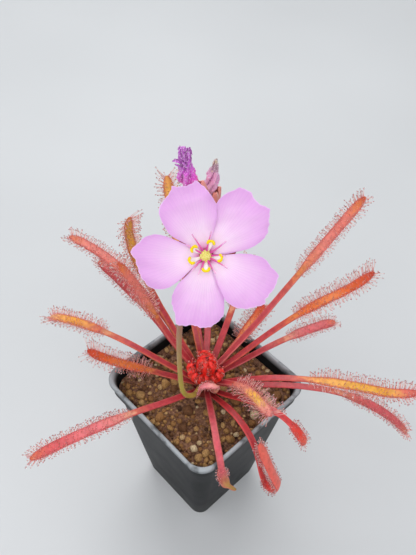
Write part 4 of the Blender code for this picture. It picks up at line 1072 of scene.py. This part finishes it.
class Spine:
    """The middle line of a leaf, with the directions along it, across it and out of its upper face."""

    def __init__(self, headings, rises, length, start):
        self.headings, self.rises = headings, rises
        shares = (np.arange(WALK_STEPS) + 0.5) / WALK_STEPS
        ways = direction(values_at(headings, shares), values_at(rises, shares))
        self.places = np.vstack([start, start + np.cumsum(ways, 0) * length / WALK_STEPS])

    def at(self, shares):
        """Place, side, face and way at shares of the length."""
        shares = np.clip(shares, 0.0, 1.0)
        spots = shares * WALK_STEPS
        steps = np.arange(WALK_STEPS + 1)
        place = np.stack([np.interp(spots, steps, self.places[:, k]) for k in range(3)], -1)
        heading, rise = values_at(self.headings, shares), values_at(self.rises, shares)
        way, face = direction(heading, rise), direction(heading, rise + 90)
        return place, np.cross(face, way), face, way


def blade_width(share, neck, full):
    """Width of the blade at shares of its length, from its neck to its round tip."""
    tip = np.clip((share - 1 + TIP_SHARE) / TIP_SHARE, 0, 1)
    return (neck + (full - neck) * ease(share / NECK_SHARE)) * np.sqrt(1 - 0.985 * tip**2)


def add_tentacles(skin, roots, ways, bends, reaches, swell):
    """Tentacles: a curved, tapered stalk, an oval gland at its end and a drop of dew round the gland."""
    steps = np.linspace(0, 1, len(STALK_RADII))
    curve = ways[:, None] * steps[:, None] + bends[:, None] * (steps**2)[:, None]
    centres = roots[:, None] + reaches[:, None, None] * curve
    a, b = crosswise(ways)
    girth = 0.7 + 0.3 * np.clip(reaches / FULL_REACH, 0, 1)
    rings = rings_at(centres, a[:, None], b[:, None], girth[:, None] * STALK_RADII, 3)
    skin.add(*shells(rings), 1, along=np.tile(np.append(np.repeat(steps, 3), (0.0, 1.0)), len(roots)))
    axes = unit(centres[:, -1] - centres[:, -2])
    skin.globes(centres[:, -1], axes, GLAND_RADIUS * girth, GLAND_STRETCH, 4, 2, 2)
    skin.globes(centres[:, -1], axes, np.interp(swell, (0, 1), DROP_RADII) * girth, DROP_STRETCH, 6, 3, 3)


def dress_leaf(skin, spine, lengths, widths, kind, tone, rng, thick):
    """The strap of a leaf with the tentacles on its blade."""
    petiole, blade = lengths
    base, neck, full = widths
    near = np.linspace(0, 1, 21)[:-1]
    straight = np.linspace(0, 1 - TIP_SHARE, 30)[:-1]
    far = np.append(straight, 1 - TIP_SHARE + TIP_SHARE * np.sin(np.linspace(0, math.pi / 2, 9)))
    along = np.append(near, 1 + far)
    place, side, face, _ = spine.at(np.append(near * petiole, petiole + far * blade) / (petiole + blade))
    widths = np.append(base + (neck - base) * ease(3 * near), blade_width(far, neck, full))
    if kind == "ageing":
        # The dried tip is shrivelled.
        widths *= 1 - 0.58 * ease((along - 1 - SHRIVEL_SHARES[0]) / SHRIVEL_SHARES[1])
    widths = widths * (1 + 0.035 * ripple(place, 0.009, int(rng.integers(1000))))
    # The petiole is thick and channelled, the blade thin and flatter, and thinnest at its tip.
    spread = ease((along - 1) / THINNING_SHARE)
    thin = 1 - spread * (1 - BLADE_THICKNESS / PETIOLE_THICKNESS)
    thin = PETIOLE_THICKNESS * thick * thin * (1 - 0.55 * np.clip((along - 1.85) / 0.15, 0, 1) ** 2)
    skin.strap(place, side, face, widths, thin, 0, 16, 0.20 - 0.10 * spread, 0.15, along=along, tone=tone)
    add_fringe(skin, spine, petiole, blade, neck, full, VIGOUR[kind], rng, thick)


def add_fringe(skin, spine, petiole, blade, neck, full, vigour, rng, thick):
    """Rows of tentacles across a blade, long and level at its edges, short and upright in its middle."""
    strength, covered, inner = vigour
    rows = int(round(blade / TENTACLE_PITCH))
    grown = []
    for row in range(int(rows * covered)):
        for lane, reach, tilt in LANES[row % 2]:
            for sign in (1, -1):
                grown.append((
                    (row + 0.5 + rng.uniform(-ROW_STRAY, ROW_STRAY)) / rows,
                    sign * lane + (rng.uniform(-LANE_STRAY, LANE_STRAY) if lane < RIM_LANE else 0.0),
                    reach * rng.uniform(*REACH_STRAY),
                    (tilt if sign > 0 else 180 - tilt) + rng.normal(0, TILT_STRAY),
                ))
    grown = np.array(grown)
    kept = (np.abs(grown[:, 1]) > INNER_LANE) | (rng.uniform(0, 1, len(grown)) < inner)
    spots, lanes, reaches, tilts = grown[kept].T
    place, side, face, way = spine.at((petiole + spots * blade) / (petiole + blade))
    width = blade_width(np.minimum(spots, 0.985), neck, full)
    # Those near the tip fan out forwards.
    fan = np.clip((spots - 0.70) / 0.30, 0, 1) ** 2 * np.abs(2 * lanes)
    lean = fan + 0.25 * np.clip((spots - 0.8) / 0.2, 0, 1) + rng.normal(0, LEAN_STRAY, len(spots))
    tilts = np.radians(tilts)
    ways = unit(side * np.cos(tilts)[:, None] + face * np.sin(tilts)[:, None] + way * lean[:, None])
    height = 0.35 * BLADE_THICKNESS * thick * np.sqrt(np.maximum(1 - (2 * lanes) ** 2, 0))
    roots = place + side * (lanes * width * 0.97)[:, None] + face * height[:, None] - ways * ROOT_DEPTH
    bends = face * rng.uniform(0.0, BEND_UP, len(spots))[:, None]
    bends = bends + way * rng.normal(0, BEND_STRAY, len(spots))[:, None]
    reaches = reaches * strength * (0.55 + 0.45 * ease(spots / 0.12))
    reaches = reaches * (1 + 0.35 * ease((spots - 0.72) / 0.25))
    swell = rng.uniform(0.0, 1.0, len(spots)) * (0.4 + 1.2 * np.abs(lanes))
    add_tentacles(skin, roots, ways, bends, reaches, swell)


def make_leaves(skins, limbs):
    """Every leaf on its solid's own line, but for the young arched one, whose tip hangs a little lower."""
    for number, headings, rises, petiole, blade, seat, kind, tone in LEAVES:
        tilt = 0.5 * SEAT_THICKNESS * abs(math.sin(math.radians(rises[0])))
        start = from_axis(headings[0], STEM_RADIUS + SEAT_GAP + tilt, seat)
        spine = Spine(headings, rises, petiole + blade, start)
        widths, thick = (YOUNG_WIDTHS, YOUNG_STOUTNESS) if kind == "young" else (LEAF_WIDTHS, 1.0)
        rng = np.random.default_rng(200 + number)
        skin = Skin()
        dress_leaf(skin, spine, (petiole, blade), widths, kind, tone, rng, thick)
        skin.build(f"sticky_leaf_{number:02d}", [skins[kind], *limbs], [f"leaf_{number:02d}"])


def make_crown(bark, heart_skin, limbs):
    """The stem with old leaf scales, and the tuft of curled young leaves at its top."""
    skin = Skin()
    rings = []
    for radius, height in STEM_PROFILE[::-1]:
        ring = from_axis(np.arange(28) * 360 / 28, radius, height)
        ring[:, :2] *= 1 + 0.03 * ripple(ring, 0.004, 3)[:, None]
        rings.append(ring)
    skin.add(*shells(rings), 4)
    rng = random.Random(7)
    for k in range(HEART_LEAVES):
        heading = 360 * k / HEART_LEAVES + rng.uniform(-HEART_STRAY, HEART_STRAY)
        lean = rng.uniform(*HEART_LEAN)
        rises = (lean, lean + HEART_UNBEND[0], lean + HEART_UNBEND[1], rng.uniform(*HEART_CURL))
        start = from_axis(heading, HEART_SEAT_RADIUS, STEM_TOP - HEART_SEAT_DEPTH)
        spine = Spine((heading, heading), rises, sum(HEART_LENGTHS), start)
        own = np.random.default_rng(k)
        dress_leaf(skin, spine, HEART_LENGTHS, HEART_WIDTHS, "heart", 0.0, own, HEART_STOUTNESS)
    for k, heading in enumerate(OUTER_HEADINGS):
        start = from_axis(heading, OUTER_SEAT_RADIUS, STEM_TOP - OUTER_SEAT_DEPTHS[k % 2])
        lean = rng.uniform(*OUTER_LEAN)
        rises = [lean + rise for rise in OUTER_UNBEND]
        spine = Spine((heading, heading + rng.uniform(*OUTER_TURN)), rises, sum(OUTER_LENGTHS), start)
        own = np.random.default_rng(20 + k)
        dress_leaf(skin, spine, OUTER_LENGTHS, OUTER_WIDTHS, "heart", 0.0, own, OUTER_STOUTNESS)
    length, width, thick = SCALE_SIZE
    shares = np.linspace(0, 1, 8)
    for k in range(SCALES):
        heading = SCALE_TURN * k
        start = from_axis(heading, STEM_RADIUS - thick, SCALE_FOOT + SCALE_CLIMB * k / SCALES)
        rise = rng.uniform(*SCALE_RISES)
        rises = [rise + fall for fall in SCALE_FALL]
        spine = Spine((heading, heading + rng.uniform(*SCALE_BEND)), rises, length, start)
        place, side, face, _ = spine.at(shares)
        widths = width * np.sqrt(np.maximum(1 - shares**1.8, 0.02))
        skin.strap(place, side, face, widths, thick, 4, 10, 0.3, 0.0)
    skin.build("stem_and_heart", [heart_skin, *limbs, bark], ["crown"])


def flower_matrix():
    """Places a thing that is made about Z on the open flower, turned so that its Y is up in the picture."""
    turn = Matrix((FLOWER_RIGHT, FLOWER_UP, FLOWER_AXIS)).transposed().to_4x4()
    return Matrix.Translation(FLOWER_MIDDLE) @ turn @ Matrix.Rotation(math.radians(CAMERA_ROLL), 4, "Z")


def flower_point(right, up, out):
    """The place at these distances right of, above and out of the flower's middle."""
    return tuple(FLOWER_MIDDLE + FLOWER_RIGHT * right + FLOWER_UP * up + FLOWER_AXIS * out)


def axis_matrix(foot, tip):
    """A frame at the foot whose +Z points to the tip."""
    turn = (Vector(tip) - Vector(foot)).to_track_quat("Z", "Y").to_matrix().to_4x4()
    return Matrix.Translation(foot) @ turn


def add_down(skin, roots, ways, reach, finish):
    """Short glandular down: a fine hair with a tiny round head."""
    steps = np.array([0.0, 1.0])
    centres = roots[:, None] + ways[:, None] * (reach[:, None] * steps)[..., None]
    a, b = crosswise(ways)
    radii = np.broadcast_to(DOWN_RADII, (len(roots), 2))
    skin.add(*shells(rings_at(centres, a[:, None], b[:, None], radii, 3)), finish, along=0.6)
    skin.globes(centres[:, -1], ways, DOWN_HEAD, DOWN_STRETCH, 5, 2, finish, along=1.0)


def down_on_tube(skin, route, radii, count, reach, finish, rng):
    """Down all round a tube."""
    ways = unit(np.gradient(route, axis=0))
    a, b = crosswise(ways)
    spots = rng.uniform(0, len(route) - 1, count)
    k = spots.astype(int)
    part = (spots - k)[:, None]
    middle = route[k] * (1 - part) + route[np.minimum(k + 1, len(route) - 1)] * part
    angle = rng.uniform(0, 2 * math.pi, count)[:, None]
    out = unit(a[k] * np.cos(angle) + b[k] * np.sin(angle) + ways[k] * rng.uniform(-0.2, 0.3, count)[:, None])
    roots = middle + out * (radii[k, None] * 0.9)
    add_down(skin, roots, out, reach * rng.uniform(0.7, 1.3, count), finish)


def tip_route(count):
    """The nodding tip of the scape, in this many points."""
    points = [SCAPE_ROUTE[-1], *(flower_point(*point) for point in NODDING_TIP)]
    return smooth_route(points, count)


def make_scape(finish, down):
    """The tall scape with its nodding tip and a pedicel to each flower, all downy."""
    rng = np.random.default_rng(31)
    skin = Skin()
    pedicels = [(SCAPE_ROUTE[-1], *(flower_point(*point) for point in OPEN_PEDICEL))]
    pedicels += [(foot, bend, end) for _, foot, bend, end, *_ in SPENT_FLOWERS]
    # Each route with its radii, sides and number of hairs.
    routes = [(smooth_route(SCAPE_ROUTE, 120), SCAPE_RADII, 14, 900), (tip_route(40), NODDING_RADII, 10, 160)]
    routes += [(smooth_route(points, 16), PEDICEL_RADII, 10, 70) for points in pedicels]
    for route, (first, last), sides, hairs in routes:
        radii = np.linspace(first, last, len(route))
        skin.tube(route, radii * (1 + 0.03 * ripple(route, 0.006, 8)), sides)
        down_on_tube(skin, route, radii, hairs, DOWN_REACH, 1, rng)
    skin.build("flower_stalk", [finish, down], ["scape"])


def petal_points(angle, outline):
    """Points of a petal's sheet in millimetres, fanned from its narrow claw to its outline, with the
    share of the way out and the share of the way across at each."""
    rim = smooth_route([(x, y, 0.0) for x, y in outline], 8 * len(outline) - 7, 0.6) * PETAL_SCALE
    reach = np.linalg.norm(rim, axis=1)
    teeth = rippled(rim, PETAL_TEETH) * ease((reach - TEETH_START) / TEETH_RISE)
    rim = rim[:, :2] * (1 + teeth / reach)[:, None]
    steps = np.linalg.norm(np.diff(rim, axis=0), axis=1)
    across = np.append(0.0, np.cumsum(steps)) / steps.sum()
    out = np.array([math.cos(math.radians(angle)), math.sin(math.radians(angle))])
    side = np.array([-out[1], out[0]])
    claw = out * CLAW_REACH + side * (CLAW_HALF * (2 * across - 1))[:, None]
    along = np.linspace(0, 1, PETAL_ROWS)
    places = claw[None] + (rim - claw)[None] * (along**0.9)[:, None, None]
    return places, along**0.9, across


def make_petals(finish):
    """Five petals, each a thin closed sheet with its own toothed outline."""
    skin = Skin()
    for number, (angle, first_lift, last_lift, outline) in enumerate(PETALS):
        places, along, across = petal_points(angle, outline)
        rows, columns = places.shape[:2]
        u, v = along[:, None], across[None]
        # A shallow bowl that flattens outwards, with one side edge lifted over the next petal.
        reach = np.linalg.norm(places, axis=-1) / PETAL_REACH
        z = PETAL_SEAT + PETAL_BOWL[0] * np.sin(PETAL_BOWL[1] * np.clip(reach, 0, 1.1))
        z = z - PETAL_FLARE * np.clip(reach - 0.6, 0, 1) ** 2
        z = z + 0.001 * (first_lift * np.clip(1 - v, 0, 1) ** 1.5 + last_lift * v**1.5) * ease(u / 0.6)
        flat = np.dstack([places, np.zeros((rows, columns))])
        z = z + rippled(flat, PETAL_WAVES, number) * ease(u / 0.5) * (1 + 0.8 * u**4)
        thick = PETAL_THICKNESS * (1.35 - 0.75 * u**3)
        points = [np.dstack([places, z + part * thick]).reshape(-1, 3) for part in (0.5, -0.5)]
        index = np.arange(rows * columns).reshape(rows, columns)
        sheet = np.stack([index[:-1, :-1], index[1:, :-1], index[1:, 1:], index[:-1, 1:]], -1).reshape(-1, 4)
        border = np.concatenate([index[0, :-1], index[:-1, -1], index[-1, :0:-1], index[:0:-1, 0]])
        after = np.roll(border, -1)
        edge = np.stack([border, border + index.size, after + index.size, after], 1)
        faces = [sheet, sheet[:, [0, 3, 2, 1]] + index.size, edge]
        paint = {"along": np.tile(np.repeat(along, columns), 2), "across": np.tile(across, 2 * rows)}
        skin.add(np.concatenate(points), faces, 0, **paint)
    skin.build("open_petals", [finish], ["flower_petals"], flower_matrix())


def radial(angle, profile, bow=0.0):
    """Place, side and face along a profile of reach and height, at an angle about Z."""
    profile = np.array(profile, float)
    way = direction(angle, 0.0)
    side = np.array([-way[1], way[0], 0.0])
    share = np.linspace(0, 1, len(profile))
    place = way * profile[:, :1] + UPRIGHT * profile[:, 1:] + side * (bow * share**2)[:, None]
    run = unit(np.gradient(profile, axis=0))
    return place, np.broadcast_to(side, place.shape), UPRIGHT * run[:, :1] - way * run[:, 1:]


def add_cup(skin, heights, shares, radii, count):
    """A small cup under a flower, as a round tube up the Z axis with these radii at shares of it."""
    route = np.linspace((0.0, 0.0, heights[0]), (0.0, 0.0, heights[1]), count)
    skin.tube(route, np.interp(np.linspace(0, 1, count), shares, radii), 16)


def add_sepals(skin, rng, line, turn, widths, form, hairs, rows, sink, closed):
    """Five sepals round a cup, each a strap of this form on a line of reach and height, with down on its
    outer side between these rows. Closed sepals face outwards, spread ones face the flower."""
    for k in range(5):
        heading = turn + 72.0 * k
        place, side, face = radial(heading, line)
        front = -face if closed else face
        back = np.broadcast_to(direction(heading, 0.0), place.shape) if closed else -face
        skin.strap(place, side, front, widths, *form)
        spots = rng.integers(*rows, hairs)
        lanes = rng.uniform(-0.45, 0.45, hairs)
        roots = place[spots] + side[spots] * (lanes * widths[spots])[:, None] - front[spots] * sink
        ways = unit(back[spots] + side[spots] * lanes[:, None])
        add_down(skin, roots, ways, rng.uniform(*SEPAL_DOWN_REACH, hairs), 1)


def make_calyx(finish, down):
    """The calyx behind the open flower: five spread sepals on a small cup."""
    skin = Skin()
    add_cup(skin, *CALYX_CUP)
    width, thick = CALYX_SEPAL
    widths = width * np.sin(np.pi * np.clip(0.12 + 0.88 * np.linspace(0, 1, 18), 0, 0.985)) ** 0.6
    form = (thick, 0, 12, 0.2, 0.1)
    line = smooth_route(CALYX_PROFILE, 18)
    add_sepals(skin, np.random.default_rng(5), line, CALYX_TURN, widths, form, 30, (2, 17), 0.00012, False)
    skin.build("open_calyx", [finish, down], ["flower_calyx"], flower_matrix())


def make_stamens(filament, anther):
    """Five stamens: a broad white filament whose end carries a bent, two-lobed yellow anther."""
    skin = Skin()
    for number, (angle, reach, turn) in enumerate(STAMENS):
        place, side, face = radial(angle, smooth_route([(reach * r, 0.001 * z) for r, z in FILAMENT], 14))
        widths = FILAMENT_WIDTHS[0] + FILAMENT_WIDTHS[1] * ease(1.3 * np.linspace(0, 1, 14))
        skin.strap(place, side, face, widths, FILAMENT_THICKNESS, 0, 12, 0.1, 0.1)
        spin = math.radians(turn)
        end, out, over = place[-3], direction(angle, 0.0), side[-1]
        curve = []
        for x, y in ANTHER:
            a, b = x * math.cos(spin) - y * math.sin(spin), x * math.sin(spin) + y * math.cos(spin)
            curve.append(end + (out * a + over * b + face[-2] * (0.16 + 0.25 * x)) * 0.001)
        route = smooth_route(curve, 30)
        along = np.linspace(-1, 1, 30)
        # Round ends, a waist between the two lobes, and a lumpy coat of pollen.
        ends = np.sqrt(np.clip(1 - np.abs(along) ** 5, 0.08, 1))
        waist = 1 - 0.18 * np.exp(-((along / 0.14) ** 2))
        lumps = 1 + 0.10 * ripple(route, 0.0005, number)
        skin.tube(route, ANTHER_RADIUS * ends * waist * lumps, 12, 1)
    skin.build("open_stamens", [filament, anther], ["flower_stamens"], flower_matrix())


def make_pistil(ovary, style):
    """The round ovary and the thin pink style arms that spread from its foot."""
    skin = Skin()
    points, faces = bead_form(4)
    lobes = 1 + 0.035 * np.cos(3 * np.arctan2(points[:, 1], points[:, 0])) + 0.02 * ripple(points, 0.5, 4)
    points = points * lobes[:, None] * OVARY_RADIUS * (1.0, 1.0, 0.95)
    skin.add(points + (0.0, 0.0, 0.0003), [faces])
    radii = np.interp(np.linspace(0, 1, 20), *STYLE_TAPER)
    for angle, reach, bow in STYLES:
        profile = (*STYLE_FOOT, (reach * 0.75, 0.0014), (reach, 0.0021))
        place, _, _ = radial(angle, smooth_route(profile, 20), STYLE_BOW * bow)
        skin.tube(place, radii, 8, 1)
    skin.build("open_pistil", [ovary, style], ["flower_pistil"], flower_matrix())


def make_spent_flower(row, sepal, down, petal, seed):
    """A flower that is over: five closed sepals round twisted, crinkled petals with ragged ends."""
    name, _, _, foot, tip, girth, form, bow, least = row
    rng = np.random.default_rng(seed)
    length = (Vector(tip) - Vector(foot)).length
    place = axis_matrix(foot, tip)
    skin = Skin()
    add_cup(skin, *SPENT_CUP)
    width, thick = SPENT_SEPAL
    widths = width * np.sin(np.pi * np.clip(0.18 + 0.80 * np.linspace(0, 1, 16), 0, 0.98)) ** 0.5
    line = smooth_route(SPENT_SEPAL_PROFILE, 16)
    add_sepals(skin, rng, line, 0.0, widths, (thick, 0, 16, -1.4, -1.4), 34, (0, 15), 0.00008, True)
    skin.build(name + "_sepals", [sepal, down], [name + "_calyx"], place)
    skin = Skin()
    left = np.array(place.to_3x3().inverted() @ -FLOWER_RIGHT)
    add_twist(skin, length, girth, form, bow * left, seed)
    # Ragged ends of the petals, which stand out of the twist.
    at = np.linspace(0, 1, 10)
    for k in range(SPENT_ENDS):
        heading = 51.4 * k + rng.uniform(*SPENT_END_STRAY)
        start = from_axis(heading, girth * 0.35, length * rng.uniform(*SPENT_END_LEVELS))
        reach = length * rng.uniform(*SPENT_END_REACHES) * (90 - least)
        rise = rng.uniform(least, 85)
        headings = (heading, heading + rng.uniform(*SPENT_END_BEND))
        spine = Spine(headings, (rise, rise + rng.uniform(*SPENT_END_FALL) * (90 - least)), reach, start)
        spots, side, face, _ = spine.at(at)
        widths = girth * 0.8 * np.sqrt(np.maximum(1 - at**2.5, 0.05))
        widths = widths * (1 + 0.4 * ripple(spots, 0.0008, seed + k))
        skin.strap(spots, side, face, widths, SPENT_END_THICKNESS, 0, 10, -0.4, 0.6, along=0.75 + 0.25 * at)
    skin.build(name + "_twist", [petal], [name + "_petals"], place)


def add_twist(skin, length, girth, form, bow, seed):
    """Withered petals rolled into a crumpled twist up the Z axis, which bows this way."""
    share = np.linspace(0, 1, 110)
    angles = np.arange(72) * 2 * math.pi / 72
    height = (SPENT_TWIST_FOOT + (length - SPENT_TWIST_FOOT) * share)[:, None]
    theta = angles + SPENT_TWIST * share[:, None]
    flat = np.stack([np.cos(theta), np.sin(theta), height / 0.0016 + 0 * theta], -1)
    crumple = ease((share - 0.25) / 0.25)[:, None]
    folds = 0.24 * np.cos(5 * angles) + 0.10 * np.cos(11 * angles + 4 * share[:, None])
    fold = 1 + crumple * (folds + rippled(flat, SPENT_CREASES, seed))
    radius = np.interp(share, SPENT_STATIONS, form)[:, None] * girth * fold
    lift = crumple * 0.00035 * ripple(flat, 1.1, seed + 2)
    rings = np.stack([radius * np.cos(theta), radius * np.sin(theta), height + lift], -1)
    sway = np.stack([np.sin(9 * share), np.cos(7 * share), 0 * share])
    sway = SPENT_SWAY * ease((share - 0.4) / 0.6) * sway
    rings += (sway.T + bow * (ease(share / 0.25) * ease((0.85 - share) / 0.4))[:, None])[:, None]
    # How deep each point of the twist lies in a fold, painted as across, where the finish lays painted shade
    # in the folds.
    depth = np.clip((fold - 0.72) / 0.5, 0, 1)
    along = np.append(np.repeat(share, len(angles)), (0, 1))
    skin.add(*shells(rings), along=along, across=np.append(depth, (1, 1)))


def make_buds(sepal, down):
    """Closed, ribbed, downy buds along the nodding tip."""
    route = tip_route(TIP_POINTS)
    turns = np.arange(BUD_POINTS) * 360 / BUD_POINTS
    fine = np.linspace(0, 1, BUD_RINGS)
    ribs = 1 - BUD_RIBS * np.abs(np.sin(np.radians(2.5 * turns))) * np.sin(np.pi * fine)[:, None]
    for k, (length, side) in enumerate(zip(BUD_LENGTHS, BUD_SIDES)):
        rng = np.random.default_rng(80 + k)
        spot = route[2 + 2 * k]
        way = unit(spot - route[1 + 2 * k])
        aside = way * BUD_FORWARD + np.array(FLOWER_RIGHT) * side - np.array(FLOWER_AXIS) * BUD_DROOP
        out = unit(aside) if side else way
        foot = spot + out * (SEAT_GAP + BUD_SEAT * abs(side))
        radius = BUD_GIRTH * length * np.interp(fine, *zip(*BUD_PROFILE))
        rings = direction(turns, 0.0) * (radius[:, None] * ribs)[..., None]
        rings[..., 2] = length * fine[:, None]
        skin = Skin()
        skin.add(*shells(rings), along=np.append(np.repeat(fine, BUD_POINTS), (0, 1)))
        rows = rng.integers(1, 16, BUD_HAIRS)
        ways = direction(np.degrees(rng.uniform(0, 2 * math.pi, BUD_HAIRS)), 0.0)
        roots = ways * (0.93 * radius[rows])[:, None] + UPRIGHT * (length * fine[rows])[:, None]
        ways = unit(ways + UPRIGHT * rng.uniform(0, 0.5, BUD_HAIRS)[:, None])
        add_down(skin, roots, ways, rng.uniform(*BUD_DOWN_REACH, BUD_HAIRS), 1)
        place = axis_matrix(foot, foot + out)
        skin.build(f"closed_bud_{k + 1}", [sepal, down], [f"bud_{k + 1}"], place)


def make_studio(finish):
    """A plain pale floor, soft light from above and the sides, and the camera."""
    bm = bmesh.new()
    bmesh.ops.create_grid(bm, x_segments=4, y_segments=4, size=FLOOR_REACH)
    mesh = bpy.data.meshes.new("pale_floor")
    bm.to_mesh(mesh)
    bm.free()
    mesh.materials.append(finish)
    placed("pale_floor", mesh)
    for number, (place, aim, size, power) in enumerate(SOFT_BOXES):
        lamp = bpy.data.lights.new(f"soft_box_{number}", "AREA")
        lamp.size = size
        lamp.energy = power
        box = placed(lamp.name, lamp)
        box.location = place
        box.rotation_mode = "QUATERNION"
        box.rotation_quaternion = (Vector(aim) - Vector(place)).to_track_quat("-Z", "Y")
    world = bpy.data.worlds.new("pale_room")
    world.use_nodes = True
    sky = world.node_tree.nodes["Background"]
    sky.inputs["Color"].default_value = linear(ROOM_LIGHT)
    sky.inputs["Strength"].default_value = ROOM_STRENGTH
    bpy.context.scene.world = world
    camera = bpy.data.cameras.new("camera")
    camera.lens = CAMERA_LENS
    camera.sensor_width = 36.0
    camera.clip_start = 0.005
    forward = Vector(direction(CAMERA_HEADING, CAMERA_RISE))
    right = Vector(direction(CAMERA_HEADING - 90, 0.0))
    level = Matrix((right, right.cross(forward), -forward)).transposed().to_4x4()
    viewer = placed("camera", camera)
    roll = Matrix.Rotation(math.radians(CAMERA_ROLL), 4, "Z")
    viewer.matrix_world = Matrix.Translation(CAMERA_PLACE) @ level @ roll
    bpy.context.scene.camera = viewer
    bpy.context.scene.view_settings.view_transform = "Standard"


def main():
    make_studio(studio_floor())
    make_pot(moulded_polypropylene())
    make_mix(damp_peat())
    make_grains(fired_clay())
    dew = sticky_dew()
    limbs = (
        tentacle_stalk("tentacle_stalk", "#D06464", "#E6A09A", "#F2C6BE"),
        tentacle_gland("tentacle_gland", "#CC5058", "#EA807A"),
        dew,
    )
    young_limbs = (
        tentacle_stalk("young_tentacle_stalk", "#E8241C", "#F44438", "#FF7A64"),
        tentacle_gland("young_tentacle_gland", "#C81418", "#F02C24"),
        dew,
    )
    skins = {kind: leaf_skin(kind) for kind in LEAF_COLOURS}
    make_leaves(skins, limbs)
    make_crown(stem_skin(), skins["heart"], young_limbs)
    down = powdery("glandular_down", "#C4606A", "#E0A0A0", 900.0, 0.35)
    sepal = sepal_skin("green_red_sepal", "#8C8A3C", "#A86A44", "#B8504A")
    make_scape(stalk_skin(), down)
    make_calyx(sepal, down)
    make_petals(petal_skin())
    filament = powdery("white_filament", "#F4E6EE", "#FFFAFA", 1500.0)
    make_stamens(filament, powdery("pollen_anther", "#F2C800", "#FFE81E", 7000.0, 0.75))
    make_pistil(powdery("ovary_skin", "#D2BE38", "#F2EA94", 5200.0, 0.45), style_skin())
    coral = sepal_skin("coral_sepal", "#E0A068", "#F6938A", "#F8A494")
    for number, row in enumerate(SPENT_FLOWERS):
        faded = withered_petal(*WITHERED_COLOURS[number])
        make_spent_flower(row, coral, down, faded, 40 + 10 * number)
    make_buds(sepal, down)


main()
